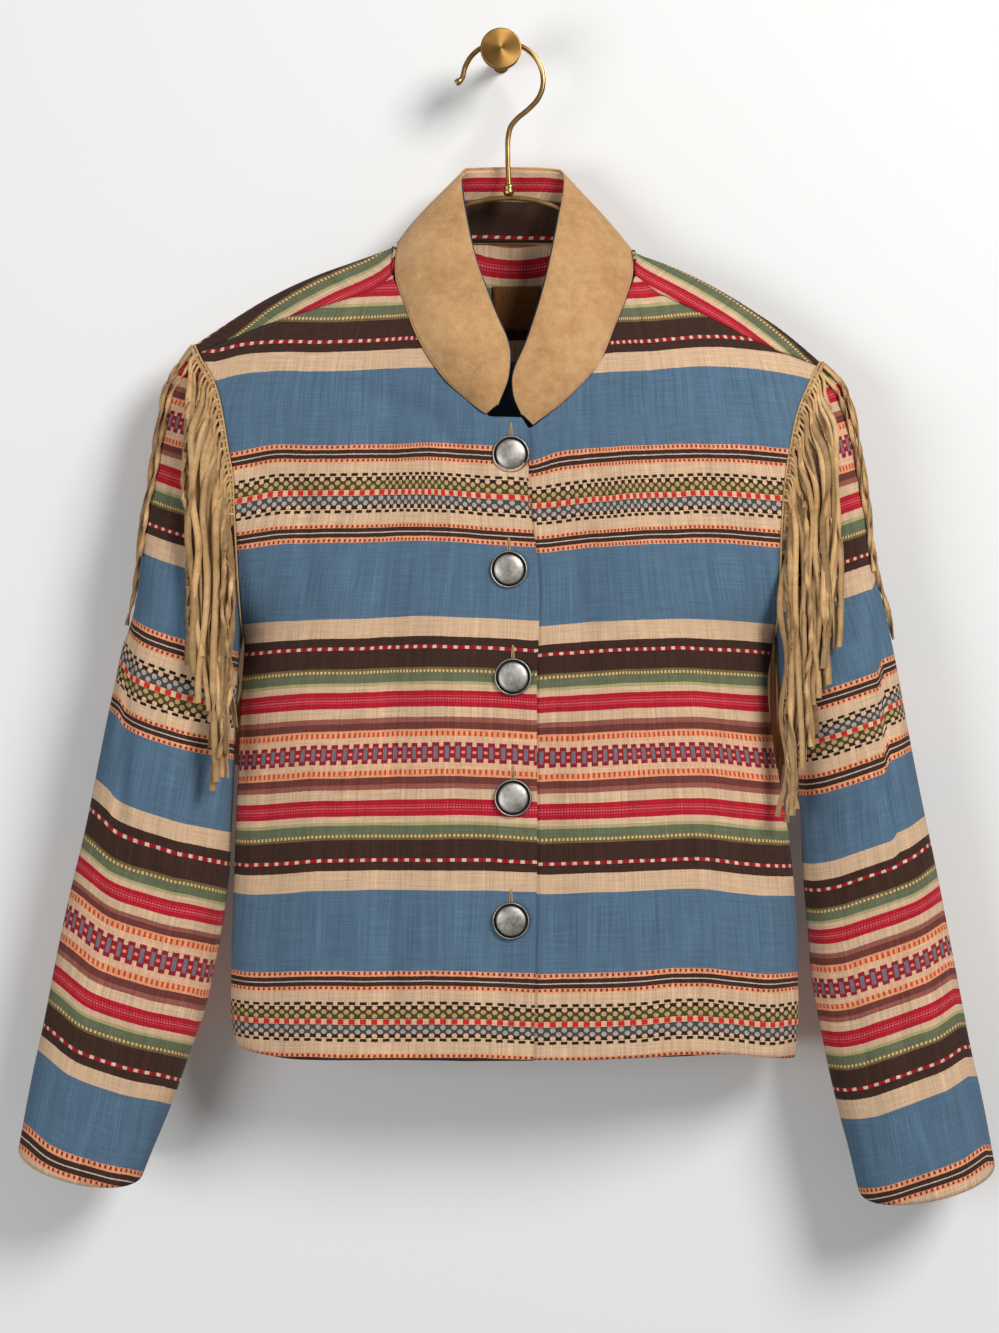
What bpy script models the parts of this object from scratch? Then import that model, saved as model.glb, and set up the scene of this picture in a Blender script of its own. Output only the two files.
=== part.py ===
"""A western fringe jacket hanging on a wire hanger from a wall peg.

Sizes are in millimetres and MM turns them into metres. X runs to the right as viewed, Y into
the wall and Z up, from the middle of the peg's back face. The jacket's own tables measure
across from its middle, CENTRE_X. Left and right are the viewer's.
"""

import math

import bpy
import numpy as np

MM = 0.001

# Cloth
CLOTH, SUEDE, LINING, PATCH = 1.8, 1.4, 1.2, 1.0  # thicknesses
SEAM_GAP = 1.4  # between the body and a sleeve
SIDE_GAP = 0.9  # between the front and the back, outside their side seams
EDGE_GAP = 0.6  # between the neckline and the collar
LAY_GAP = 0.4  # between a piece and what lies on it

# The body as it hangs
CENTRE_X = 9.8
RIDGE_Y, MIDDLE_Y = -42.0, -45.0  # the hanger's plane, and that of the side seams
FRONT_DEPTH, BACK_DEPTH = 58.0, 30.0
TURN = 6.0  # radius of the cloth over the hanger
EASE = 100.0  # how far below the ridge the body fills out
ROUND = 2.6  # how square the body's section is
UNDERARM_Z = -444.0
LAST_COLUMN = 0.995  # share of a panel at its last column before the side seam
FLARE, FLARE_RISE = 60.0, 60.0  # the section's extra width above the underarm
NECK_HALF = 90.4
UNDERLAP = 2.7  # how far the right front lies behind the left one's placket

# Heights of the shoulder ridge, as (across, z)
RIDGE = (
    (-245, -223), (-233, -215), (-212, -201), (-180, -182), (-148, -167.5), (-116, -156),
    (-92, -147), (-80, -141.5), (-60, -137.5), (0, -135), (60, -140), (80, -145),
    (92, -151), (116, -160), (148, -175), (180, -194), (206, -212), (233, -235), (245, -246),
)
# Armhole above the underarm and side seam below it, as (z downwards, out from the middle)
EDGE_LEFT = (
    (220.5, 241), (227, 238), (252, 224), (279, 217), (302, 213), (317, 210), (354, 207.5),
    (399, 205), (444, 203.5), (489, 206.5), (535, 208), (594, 210.5), (640, 212),
    (698, 213.5), (737, 212), (754, 207),
)
EDGE_RIGHT = (
    (233, 231), (252, 221), (273, 212), (296, 206.5), (321, 202), (359, 198.5), (399, 197),
    (444, 196), (474, 192), (515, 195), (552, 201), (594, 208), (640, 212.5), (698, 214.5),
    (737, 214.5), (758, 212),
)
# Height of the hem, as (across, z)
HEM = (
    (-215, -747.5), (-191, -752.2), (-170, -754.4), (-140, -754.6), (-97, -754), (13, -754),
    (57, -753.4), (124, -751), (158, -751), (190, -755), (215, -758),
)
# Free edge of the left front, which lies on top, as (z downwards, across)
PLACKET = (
    (287, 10), (301, 11.6), (321, 10.5), (360, 13.5), (375, 16), (489, 16.6), (600, 16.7),
    (754, 14.5),
)
# Folds of the body's front, as (x, z at the top, x, z at the foot, half width, height)
FOLDS = (
    (126, -400, 124, -745, 22, 5.0),
    (166, -430, 172, -745, 15, -5.0),
    (-142, -430, -150, -745, 24, 3.5),
    (-180, -450, -184, -745, 14, -3.0),
    (-40, -285, -112, -262, 11, -3.0),
    (44, -290, 92, -262, 11, -3.5),
)

# Neckline and shoulder seam of each front from its free edge, as (share of the columns, x, z)
TOP_LEFT = (
    (0.0, 10, -287), (0.05, 5.5, -279.5), (0.14, -17.9, -279), (0.2, -25.3, -274.2),
    (0.26, -35.7, -266.2), (0.33, -51.3, -251.8), (0.4, -64, -234.1), (0.46, -73.9, -216.3),
    (0.52, -81.6, -195.9), (0.58, -91, -171.5), (0.67, -109, -183), (0.77, -145, -194),
    (0.85, -175, -203), (0.93, -208, -215), (1.0, -238, -227.5),
)
TOP_RIGHT = (
    (0.0, -14, -285), (0.09, 4, -287), (0.14, 12.4, -287.2), (0.2, 24.9, -277.5),
    (0.26, 39, -266.2), (0.33, 57.7, -246.5), (0.4, 67.5, -231.1), (0.46, 75.2, -211),
    (0.52, 83, -191.3), (0.58, 91, -169.5), (0.67, 109, -184), (0.77, 145, -201),
    (0.85, 172, -215), (0.93, 200, -227), (1.0, 228.5, -237),
)
# The back's neckline: (share of the columns, across, travel over the ridge to the front)
NECK_BACK = (
    (0.36, -90.6, 0), (0.38, -88.5, -3), (0.41, -80, -5), (0.44, -62, -6.5), (0.5, 0, -9),
    (0.56, 62, -6.5), (0.59, 80, -5), (0.62, 88.5, -3), (0.64, 90.6, 0),
)
SHOULDER_START, SHOULDER_COLUMNS = 0.58, 0.33  # shares of a front's columns and the back's

# Collar, from its left end round the back to its right end, as
# (base x, base z, base y, free edge x, free edge z, free edge y)
COLLAR = (
    (-20.4, -276.9, -91, -12.6, -270.5, -93),
    (-25.3, -273.6, -91, -5.6, -252.6, -95),
    (-35.0, -265.6, -89, -3.9, -234.0, -95),
    (-50.6, -251.4, -87, -6.6, -220.4, -92),
    (-63.3, -233.8, -83, -14.4, -202.0, -87),
    (-73.2, -216.0, -78, -22.4, -180.3, -80),
    (-80.8, -195.6, -71, -29.9, -157.5, -71),
    (-89.0, -170.8, -58, -36.0, -130.4, -60),
    (-88.4, -144.8, -43, -40.6, -100.0, -45),
    (-85.5, -142.4, -31, -38.5, -87.5, -37),
    (-62.0, -139.6, -16.8, -28.5, -85.3, -31.5),
    (0.0, -139.8, -13.8, 0.0, -84.6, -30),
    (62.0, -142.0, -16.8, 28.5, -85.8, -31.5),
    (85.5, -145.8, -31, 37.5, -89.0, -37),
    (88.8, -149.0, -43, 38.6, -101.0, -45),
    (89.0, -169.0, -56, 34.8, -124.0, -57),
    (82.2, -191.0, -68, 29.9, -149.5, -68),
    (74.4, -210.6, -75, 24.4, -175.0, -77),
    (66.7, -230.6, -80, 17.6, -199.8, -85),
    (57.0, -246.0, -84, 9.2, -224.8, -90),
    (38.4, -265.4, -86, 1.6, -242.1, -92.5),
    (24.3, -276.7, -87, -0.8, -252.6, -92.5),
    (17.5, -281.6, -87, 0.8, -265.9, -91.5),
    (13.6, -284.6, -87, 6.0, -277.5, -89.5),
)
# How far the collar bows outwards between its edges, as (share of its run, roll)
COLLAR_ROLL = ((0, 5), (0.26, 5), (0.36, 2.4), (0.64, 2.4), (0.76, 5), (1, 5))
ROLL_FORM = (0, 0.88, 1, 0.62, 0)  # the bow at quarters of the width, from the base

# Outline of the sleeves as (across, z): the outer edge from the shoulder's tip and the inner
# edge from the underarm, each down to the cuff
OUTER_LEFT = (
    (-242, -221), (-260.5, -251), (-269.5, -300.6), (-278.5, -357), (-288, -429.7),
    (-294.4, -448.3), (-300.4, -475.7), (-306.4, -503.6), (-312.6, -534.6), (-323.4, -588.2),
    (-334.6, -634.6), (-344.4, -680.3), (-354.2, -731.2), (-362.4, -768.6), (-373, -824.4),
)
INNER_LEFT = (
    (-204.4, -444.9), (-207.4, -462), (-208.8, -489), (-210.7, -535), (-212.7, -580),
    (-214.7, -618), (-220.5, -664), (-225.5, -688.6), (-233.2, -723.1), (-243, -751),
    (-256, -788), (-275.7, -835.8), (-279, -844.3),
)
OUTER_RIGHT = (
    (232, -233.5), (246.5, -250), (253.6, -269), (260.4, -304.4), (266.5, -351.5),
    (272.5, -398.7), (278.4, -417.6), (284.6, -447), (288.9, -468.7), (294.7, -500.5),
    (309.1, -574.1), (316.3, -607.3), (328.4, -669.4), (336.7, -712), (344.9, -754.2),
    (351.5, -782.2), (362, -836.5),
)
INNER_RIGHT = (
    (197.2, -444.9), (201, -480), (206, -515), (212, -545), (216, -570), (217.6, -611),
    (222, -666), (225.3, -703.7), (231.7, -738.2), (236.8, -764), (245, -799),
    (253.2, -829.7), (259.7, -857.6),
)
# Rings of a sleeve, as (share of its length, share down the outer edge, down the inner edge)
SLEEVE_RINGS = ((0, 0, 0), (0.34, 0.36, 0.07), (1, 1, 1))
# Half depths of a sleeve, as (share of its length, to the front, to the back)
SLEEVE_DEPTHS = ((0, 34, 30), (0.3, 38, 34), (0.7, 37, 33), (1, 34, 30))
SLEEVE_Y = -50.0
SLEEVE_JOIN = 0.3  # share of the length over which it takes the armhole's form
CUFF_BOW, CUFF_BACK_BOW = 14.0, 4.0  # how far the cuff sags below a line across it

# Fringe
STRAND_WIDTH, STRAND_THICK = 4.3, 1.2
# Where the strands end, as (share of the strands from the outermost, z)
ENDS_LEFT = ((0, -432), (0.25, -468), (0.5, -508), (0.7, -545), (0.85, -530), (1, -514))
ENDS_RIGHT = ((0, -444), (0.2, -456), (0.4, -482), (0.6, -516), (0.8, -554), (1, -574))
ROOT_SHARE = 0.55  # a strand's width at its root
FRONT_STRANDS, BACK_STRANDS, DRAPED_STRANDS = 19, 9, 3
CURTAIN_LEFT, CURTAIN_RIGHT = (245, 207), (239.5, 200)  # where the strands hang, out and in
LAYERS, LAYER_STEP, STRAND_LIFT = 3, 2.3, 1.6
BACKING_WIDTH, BACKING_THICK = 6.0, 1.2
BACKING_LIFT = (1.4, 0.8)  # above the left sleeve and above the right one

# Buttons, as (x, z): the outline turned round the axis is (radius, height)
BUTTONS = ((-2.5, -307.1), (-4.0, -392.4), (-1.0, -471.7), (-1.0, -560.6), (-2.5, -651.0))
BUTTON_OUTLINE = (
    (0, 0), (12.9, 0), (13.7, 0.8), (13.7, 1.9), (12.6, 2.7), (10.9, 2.5), (10.2, 2.9),
    (7.5, 4.3), (3.8, 5.1), (0, 5.3),
)
BUTTON_STEPS = 16

# Label inside the back
LABEL_X, LABEL_Z = (-15.9, 20.1), (-206.7, -173.1)

# Hanger, as points (x, z) in the plane RIDGE_Y, and the peg as (radius, distance from the wall)
WIRE = 2.0
HOOK = (
    (-34.2, -22.7), (-30.2, -19.8), (-26.9, -9.8), (-22.0, -1.6), (-14.5, 4.3), (-6.0, 7.2),
    (2.0, 8.0), (10.5, 7.1), (18.5, 3.9), (25.0, -1.6), (29.5, -8.6), (31.8, -17.0),
    (31.4, -26.2), (27.8, -34.6), (20.4, -42.6), (12.2, -49.4), (7.4, -55.5), (5.6, -63.0),
    (5.3, -76.0), (5.9, -98.8),
)
FERRULE = ((0, -99.2), (3.4, -99.2), (4.0, -99.8), (4.0, -106.4), (3.4, -107.0), (0, -107.0))
ARM_DROP = 6.4  # the wire's middle below the ridge of the cloth
ARM_END = 200.0
ARMS_AT_NECK = (
    (-85, -159.5), (-72, -151), (-60, -139.5), (-50, -130.5), (-40, -122.5), (-29, -116),
    (-10, -110.8), (5.9, -109.4), (22, -110.6), (42, -116.5), (55, -123), (66, -131.5),
    (76, -141), (88, -153), (103, -163.5),
)
WALL_PEG = (
    (0, 0), (6.4, 0), (6.4, 1.2), (5.5, 1.8), (5.5, 51), (11.5, 52), (15, 54.5),
    (15.5, 57), (15.2, 60.5), (14.4, 61.8), (0, 63),
)


def through(rows, at):
    """Values at a position on a smooth curve through rows of (position, value, ...)."""
    rows = np.asarray(rows, float)
    place, value = rows[:, 0], rows[:, 1:]
    slope = np.gradient(value, place, axis=0)
    at = np.clip(np.asarray(at, float), place[0], place[-1])
    i = np.clip(np.searchsorted(place, at) - 1, 0, len(place) - 2)
    step = (place[i + 1] - place[i])[..., None]
    t = (at - place[i])[..., None] / step
    found = (
        (1 + 2 * t) * (1 - t) ** 2 * value[i]
        + t * (1 - t) ** 2 * step * slope[i]
        + t * t * (3 - 2 * t) * value[i + 1]
        + t * t * (t - 1) * step * slope[i + 1]
    )
    return found[..., 0] if found.shape[-1] == 1 else found


def along(points, share):
    """Points at a share of the length of a path through these."""
    points = np.asarray(points, float)
    steps = np.linalg.norm(np.diff(points, axis=0), axis=1)
    run = np.concatenate([[0], np.cumsum(steps)]) / steps.sum()
    return through(np.column_stack([run, points]), share)


def ramp(start, end, value):
    t = np.clip((np.asarray(value, float) - start) / (end - start), 0, 1)
    return t * t * (3 - 2 * t)


def ridge(x):
    return through(RIDGE, x)


def edge(x, z):
    """How far out the armhole or the side seam is at this height, on the side of x."""
    down = -np.asarray(z, float)
    return np.where(np.asarray(x) < 0, through(EDGE_LEFT, down), through(EDGE_RIGHT, down))


def fill(x, z):
    """Share of its full depth that the body has at a point: none at the side seams."""
    out = edge(x, z) + FLARE * ramp(0, FLARE_RISE, z - UNDERARM_Z)
    share = np.clip(np.abs(x) / out, 0, 1)
    return (1 - share**ROUND) ** (1 / ROUND)


def stand(below, full):
    """How far the cloth stands off the hanger's plane at this depth below the ridge."""
    below = np.maximum(below, 0)
    over = np.sqrt(np.maximum(TURN**2 - (TURN - np.minimum(below, TURN)) ** 2, 0))
    return over + (full - TURN) * (1 - np.exp(-np.maximum(below - TURN, 0) / EASE))


def middle(below):
    return RIDGE_Y + (MIDDLE_Y - RIDGE_Y) * ramp(0, 60, below)


def relief(x, z):
    """Height of the folds of the body's front."""
    total = np.zeros(np.broadcast(x, z).shape)
    for x0, z0, x1, z1, half, height in FOLDS:
        run_x, run_z = x1 - x0, z1 - z0
        share = ((x - x0) * run_x + (z - z0) * run_z) / (run_x**2 + run_z**2)
        near = np.clip(share, 0, 1)
        away = np.hypot(x - x0 - near * run_x, z - z0 - near * run_z)
        total = total + height * np.exp(-((away / half) ** 2)) * ramp(-0.05, 0.35, share)
    return total


def front_y(x, z):
    below = ridge(x) - z
    depth = stand(below, FRONT_DEPTH) + relief(x, z) * ramp(10, 60, below)
    return middle(below) - depth * fill(x, z)


def back_y(x, z):
    below = ridge(x) - z
    filled = stand(below, BACK_DEPTH) / BACK_DEPTH
    at_neck = np.sqrt(np.clip(1 - (np.abs(x) / NECK_HALF) ** 4, 0, 1))
    lower = np.exp(-((x / NECK_HALF) ** 4))
    open_neck = at_neck + (lower - at_neck) * ramp(0, 70, below)
    share = filled + (1 - filled) * open_neck
    return middle(below) + BACK_DEPTH * share * fill(x, z)


def over_ridge(x, travel):
    """The body's outer point this far over the ridge, to the front where travel is positive."""
    far = np.abs(travel)
    quarter = TURN * math.pi / 2
    below = np.where(far < quarter, TURN * (1 - np.cos(far / TURN)), TURN + far - quarter)
    z = ridge(x) - below
    y = np.where(travel > 0, front_y(x, z), back_y(x, z))
    return np.stack([x, y, z], -1)


def spread(share):
    """Shares across a panel, closer together towards its side seam."""
    return 0.3 * share + 0.7 * np.sin(share * math.pi / 2)


def front_grid(top, sign, free_edge, columns, rows, behind):
    """Outer points of a front, its columns from the free edge and its rows from the hem."""
    across = np.append(np.linspace(0, 1, columns - 1), LAST_COLUMN)
    across = np.sort(across)[:, None]
    up = np.linspace(0, 1, rows)[None, :]
    table = np.asarray(top, float)
    top_x, top_z = (np.interp(across, table[:, 0], table[:, n]) for n in (1, 2))
    low = through(PLACKET, 754.0) if free_edge else table[0, 1]
    foot = edge(sign, -750.0) * sign
    hem_x = low + (foot - low) * spread(across)
    hem_z = through(HEM, hem_x)
    z = hem_z + (top_z - hem_z) * up
    hem_share, top_share = hem_x / edge(sign, hem_z), top_x / edge(sign, top_z)
    hem_share, top_share = hem_share / abs(hem_share[-1]), top_share / abs(top_share[-1])
    share = hem_share + (top_share - hem_share) * up
    start = share[:1]
    x = share * edge(sign, z)
    wanted = through(PLACKET, -z[:1]) if free_edge else table[0, 1] + 0 * z[:1]
    x = x + (1 - across) ** 2 * (wanted - start * edge(sign, z[:1]))
    y = np.minimum(front_y(x, z), MIDDLE_Y - SIDE_GAP / 2)
    y = y + behind * (1 - ramp(16, 46, x))
    return np.stack([x, y, z], -1)


def top_of_back():
    """The back's top edge, as rows of (share from the left, across, travel over the ridge)."""
    rows = list(NECK_BACK)
    for sign, table in ((-1, TOP_LEFT), (1, TOP_RIGHT)):
        for place, x, z in table:
            if place >= SHOULDER_START:
                out = (place - SHOULDER_START) / (1 - SHOULDER_START) - 1
                below = ridge(x) - z - EDGE_GAP
                travel = below - TURN + TURN * math.pi / 2
                rows.append((0.5 + sign * (0.5 + SHOULDER_COLUMNS * out), x, travel))
    return np.array(sorted(rows))


def back_grid(columns, rows, wrap_rows):
    """Outer points of the back, from the left, its rows from the hem to over the ridge."""
    top = top_of_back()
    corners = top[np.abs(np.abs(top[:, 1]) - NECK_HALF) < 5, 0]
    place = np.linspace(0, 1, columns)
    keep = np.abs(place[:, None] - corners).min(1) > 0.3 / columns
    ends = (1 - LAST_COLUMN) / 2
    across = np.concatenate([place[keep], corners, (ends, 1 - ends)])
    across = np.sort(across)[:, None]
    top_x, top_travel = (np.interp(across, top[:, 0], top[:, n]) for n in (1, 2))
    side = np.where(across < 0.5, -1.0, 1.0)
    hem_x = side * spread(np.abs(2 * across - 1)) * edge(side, -750.0)
    hem_z = through(HEM, hem_x)
    low = np.linspace(0, 1, rows)[None, :]
    high = np.linspace(0, 1, wrap_rows + 1)[None, 1:]
    bend = TURN * math.pi / 2 - TURN
    start = -16.0
    hem_share = hem_x / edge(side, hem_z)
    top_share = top_x / edge(side, ridge(top_x) + start + bend)
    for share in (hem_share, top_share):
        share /= np.where(side < 0, abs(share[0]), abs(share[-1]))
    x = hem_x + 0 * low
    for _ in range(4):  # the panel's sides follow its edges, which depend on the height
        first = hem_z - ridge(x) - bend
        travel = first + (start - first) * low
        x = (hem_share + (top_share - hem_share) * low) * edge(side, ridge(x) + travel + bend)
    over = start + (top_travel - start) * high
    wrapped = x[:, -1:] + (top_x - x[:, -1:]) * high
    for _ in range(4):
        found = over_ridge(wrapped, over)
        off = edge(side, found[..., 2]) - np.abs(wrapped)
        off = np.where(side < 0, off[:1], off[-1:])
        wrapped = wrapped + side * off * np.abs(2 * across - 1) ** 8
    body = over_ridge(x, travel)
    body[..., 1] = np.maximum(body[..., 1], MIDDLE_Y + SIDE_GAP / 2)
    return np.concatenate([body, over_ridge(wrapped, over)], 1)


def armhole(sign, share):
    """Points (across, z) from the shoulder's tip to the underarm, and which way is outwards."""
    table = EDGE_LEFT if sign < 0 else EDGE_RIGHT
    rows = [(sign * out, -down) for down, out in table if down <= -UNDERARM_Z]
    place = along(rows, share)
    step = along(rows, np.clip(share + 0.01, 0, 1)) - along(rows, np.clip(share - 0.01, 0, 1))
    step = step / np.linalg.norm(step, axis=-1, keepdims=True)
    return place, sign * np.stack([-step[..., 1], step[..., 0]], -1)


def sleeve_points(sign, length, turn):
    """Outer points of a sleeve, from 0 at the armhole to 1 at the cuff, turning from 0 at its
    outer edge over the front to pi at its inner edge, and over the back where negative."""
    length, turn = np.broadcast_arrays(np.asarray(length, float), np.asarray(turn, float))
    outer, inner = (OUTER_LEFT, INNER_LEFT) if sign < 0 else (OUTER_RIGHT, INNER_RIGHT)
    rings = np.asarray(SLEEVE_RINGS, float)
    start = along(outer, np.interp(length, rings[:, 0], rings[:, 1]))
    end = along(inner, np.interp(length, rings[:, 0], rings[:, 2]))
    share = (1 - np.cos(turn)) / 2
    front = turn >= 0
    hole, outward = armhole(sign, share)
    chord = start + (end - start) * share[..., None]
    seam = along(outer, 0.0) + (along(inner, 0.0) - along(outer, 0.0)) * share[..., None]
    join = 1 - ramp(0, SLEEVE_JOIN, length)
    place = chord + join[..., None] * (hole + outward * SEAM_GAP - seam)
    round_it = np.abs(np.sin(turn)) ** 0.85
    place[..., 1] -= np.where(front, CUFF_BOW, CUFF_BACK_BOW) * round_it * length**2
    depth = through(SLEEVE_DEPTHS, length)
    own = SLEEVE_Y + np.where(front, -depth[..., 0], depth[..., 1]) * round_it
    x, z = hole[..., 0], hole[..., 1]
    held = np.where(front, front_y(x, z), back_y(x, z))
    y = own + (held - own) * join
    return np.stack([place[..., 0], y, place[..., 1]], -1)


def collar_grid(around, across, inset=0.0):
    """Outer points of the collar, from its left end round the back, base to free edge."""
    rows = np.asarray(COLLAR, float)
    share = np.linspace(0, 1, len(rows))
    at = np.linspace(0, 1, around)[:, None]
    table = through(np.column_stack([share, rows]), at[:, 0])
    base, free = table[:, None, (0, 2, 1)], table[:, None, (3, 5, 4)]
    width = np.linspace(0, 1, across)[None, :, None]
    reach = np.linalg.norm(free - base, axis=-1, keepdims=True)
    width = inset / reach + width * (1 - 2 * inset / reach)
    points = base + (free - base) * width
    side = np.gradient(points, axis=0)
    out = np.cross(free - base, side)
    out /= np.linalg.norm(out, axis=-1, keepdims=True)
    roll = through(COLLAR_ROLL, at)[..., None] * np.minimum(1, reach / 60)
    return points + out * roll * np.interp(width, np.linspace(0, 1, 5), ROLL_FORM)


def normals(grid, flip=False):
    """Unit normals of a grid of points."""
    found = np.cross(np.gradient(grid, axis=0), np.gradient(grid, axis=1))
    found /= np.maximum(np.linalg.norm(found, axis=-1, keepdims=True), 1e-9)
    return -found if flip else found


def material(name, colour, roughness, metallic=0.0):
    made = bpy.data.materials.new(name)
    made.use_nodes = True
    shader = made.node_tree.nodes["Principled BSDF"]
    shader.inputs["Base Color"].default_value = (*colour, 1)
    shader.inputs["Roughness"].default_value = roughness
    shader.inputs["Metallic"].default_value = metallic
    return made


def mesh_object(name, points, faces, made, where):
    """An object of these points, which are measured across from the jacket's middle."""
    mesh = bpy.data.meshes.new(name)
    shift = np.array([CENTRE_X, 0, 0])
    mesh.from_pydata([tuple(p) for p in (np.asarray(points) + shift) * MM], [], faces)
    mesh.materials.append(made)
    mesh.shade_smooth()
    piece = bpy.data.objects.new(name, mesh)
    where.objects.link(piece)
    return piece


def cloth(name, grid, thickness, made, where, flip=False, tube=False):
    """A piece of cloth with its outer face on a grid and its thickness inside that."""
    columns, rows = grid.shape[:2]
    faces = []
    for i in range(columns if tube else columns - 1):
        k = (i + 1) % columns
        for j in range(rows - 1):
            face = (i * rows + j, k * rows + j, k * rows + j + 1, i * rows + j + 1)
            faces.append(face[::-1] if flip else face)
    piece = mesh_object(name, grid.reshape(-1, 3), faces, made, where)
    wall = piece.modifiers.new("Wall", "SOLIDIFY")
    wall.thickness = thickness * MM
    wall.offset = -1
    return piece


def turned(name, outline, made, where, steps):
    """A solid turned round its own Z from (radius, height) points."""
    mesh = bpy.data.meshes.new(name)
    points = [(radius * MM, 0, height * MM) for radius, height in outline]
    mesh.from_pydata(points, [(n, n + 1) for n in range(len(points) - 1)], [])
    mesh.materials.append(made)
    piece = bpy.data.objects.new(name, mesh)
    where.objects.link(piece)
    screw = piece.modifiers.new("Turn", "SCREW")
    screw.steps = screw.render_steps = steps
    screw.use_merge_vertices = True
    screw.merge_threshold = 1e-5
    screw.use_normal_calculate = True
    return piece


def wire(name, points, radii, made, where):
    """A round wire through (x, z) points in the hanger's plane."""
    curve = bpy.data.curves.new(name, "CURVE")
    curve.dimensions = "3D"
    curve.bevel_depth = WIRE * MM
    curve.bevel_resolution = 2
    curve.use_fill_caps = True
    curve.resolution_u = 1
    spline = curve.splines.new("POLY")
    spline.points.add(len(points) - 1)
    for point, (x, z), radius in zip(spline.points, points, radii):
        point.co = (x * MM, RIDGE_Y * MM, z * MM, 1)
        point.radius = radius
    curve.materials.append(made)
    piece = bpy.data.objects.new(name, curve)
    where.objects.link(piece)
    return piece


def strand(path, facing):
    """Corner points and faces of a strip of suede whose middle follows a path."""
    run = np.gradient(path, axis=0)
    side = np.cross(run, facing)
    side /= np.linalg.norm(side, axis=1, keepdims=True)
    out = np.cross(side, run)
    out /= np.linalg.norm(out, axis=1, keepdims=True)
    width = STRAND_WIDTH * np.interp(np.arange(len(path)), (1, 3), (ROOT_SHARE, 1))
    half_w, half_t = side * width[:, None] / 2, out * STRAND_THICK / 2
    rings = np.stack([path - half_w - half_t, path + half_w - half_t,
                      path + half_w + half_t, path - half_w + half_t], 1)
    faces = [(3, 2, 1, 0), tuple(4 * len(path) - 4 + n for n in range(4))]
    for n in range(len(path) - 1):
        for k in range(4):
            m = (k + 1) % 4
            faces.append((4 * n + k, 4 * n + m, 4 * n + 4 + m, 4 * n + 4 + k))
    return rings.reshape(-1, 3), faces


def hang_plane(sign, front, reach):
    """Rows of (z downwards, y) of the plane in which strands hang clear of the cloth."""
    z = np.linspace(-225, -650, 86)
    x = sign * np.linspace(0.9, 1, 12)[:, None] * edge(sign, z)
    body = front_y(x, z) if front else back_y(x, z)
    cloud = [np.stack([x, body, z + 0 * x], -1).reshape(-1, 3)]
    turn = np.linspace(0, math.pi, 60)[:, None] * (1 if front else -1)
    cloud.append(sleeve_points(sign, np.linspace(0, 0.7, 90), turn).reshape(-1, 3))
    cloud = np.concatenate(cloud)
    cloud = cloud[(cloud[:, 0] * sign > reach[0]) & (cloud[:, 0] * sign < reach[1])]
    rows, far = [], None
    for down in -z:
        near = cloud[np.abs(cloud[:, 2] + down) < 8, 1]
        if near.size:
            here = near.min() if front else near.max()
            far = here if far is None else (min(far, here) if front else max(far, here))
        rows.append((down, MIDDLE_Y if far is None else far))
    return rows


def backing_grid(sign, columns=30):
    """Outer points of the strip that holds a fringe, on the sleeve beside the armhole."""
    turn = np.linspace(-0.58, 0.58, columns)[:, None] * math.pi
    share = (1 - np.cos(turn)) / 2
    rate = 620 * (1 - share) + 85 * share  # millimetres of sleeve to a unit of its length
    place = np.array([1.0, 1.0 + BACKING_WIDTH])[None, :] / rate
    grid = sleeve_points(sign, place, turn)
    return grid + normals(grid, sign < 0) * (BACKING_THICK + BACKING_LIFT[sign > 0])


def fringe_strands(sign, rng):
    """Paths of a fringe's strands, each with the way its face looks."""
    found = []
    lift = BACKING_THICK / 2 + BACKING_LIFT[sign > 0]
    for front, count in ((True, FRONT_STRANDS), (False, BACK_STRANDS)):
        face = 1 if front else -1
        look = np.array([0, -face, 0.0])
        curtain = CURTAIN_LEFT if sign < 0 else CURTAIN_RIGHT
        ends = np.transpose(ENDS_LEFT if sign < 0 else ENDS_RIGHT)
        plane = hang_plane(sign, front, (curtain[1] - 3, curtain[0] + 3))
        for n in range(count):
            turn = face * math.acos(1 - 2 * (0.07 + 0.53 * (n + 0.5) / count))
            share = (1 - math.cos(turn)) / 2
            rate = 620 * (1 - share) + 85 * share
            near, far = (
                sleeve_points(sign, (1.0 + BACKING_WIDTH * part) / rate, turn)
                for part in (0.5, 1.6)
            )
            go = (far - near) / np.linalg.norm(far - near)
            root = near + look * lift
            layer = n % LAYERS
            off = STRAND_LIFT + LAYER_STEP * layer
            fall_x = sign * np.interp(n, (0, count - 1), curtain)
            end = np.interp(n / (count - 1), *ends) + rng.uniform(-12, 8)
            length = root[2] - end
            path = [root, root + go * 2.4 + look * (0.8 + 0.8 * layer)]
            for down in (10, 60, 0.5 * length + 20, length):
                z = root[2] - down
                y = through(plane, -z + min(down, 35)) - face * off
                path.append(np.array([fall_x + rng.uniform(-0.2, 0.2), y, z]))
            found.append((np.array(path), np.tile(look, (len(path), 1))))
    for n in range(DRAPED_STRANDS):
        turn = (0.06, 0.125, -0.07)[n] * math.pi
        places = np.concatenate([[4.0 / 620], np.linspace(0.035, 0.34 - 0.02 * n, 6)])
        path = sleeve_points(sign, places, turn)
        aside = sleeve_points(sign, places, turn + 0.05)
        out = np.cross(np.gradient(path, axis=0), aside - path) * -sign
        out /= np.linalg.norm(out, axis=1, keepdims=True)
        found.append((path + out * lift, out))
    return found


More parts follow.
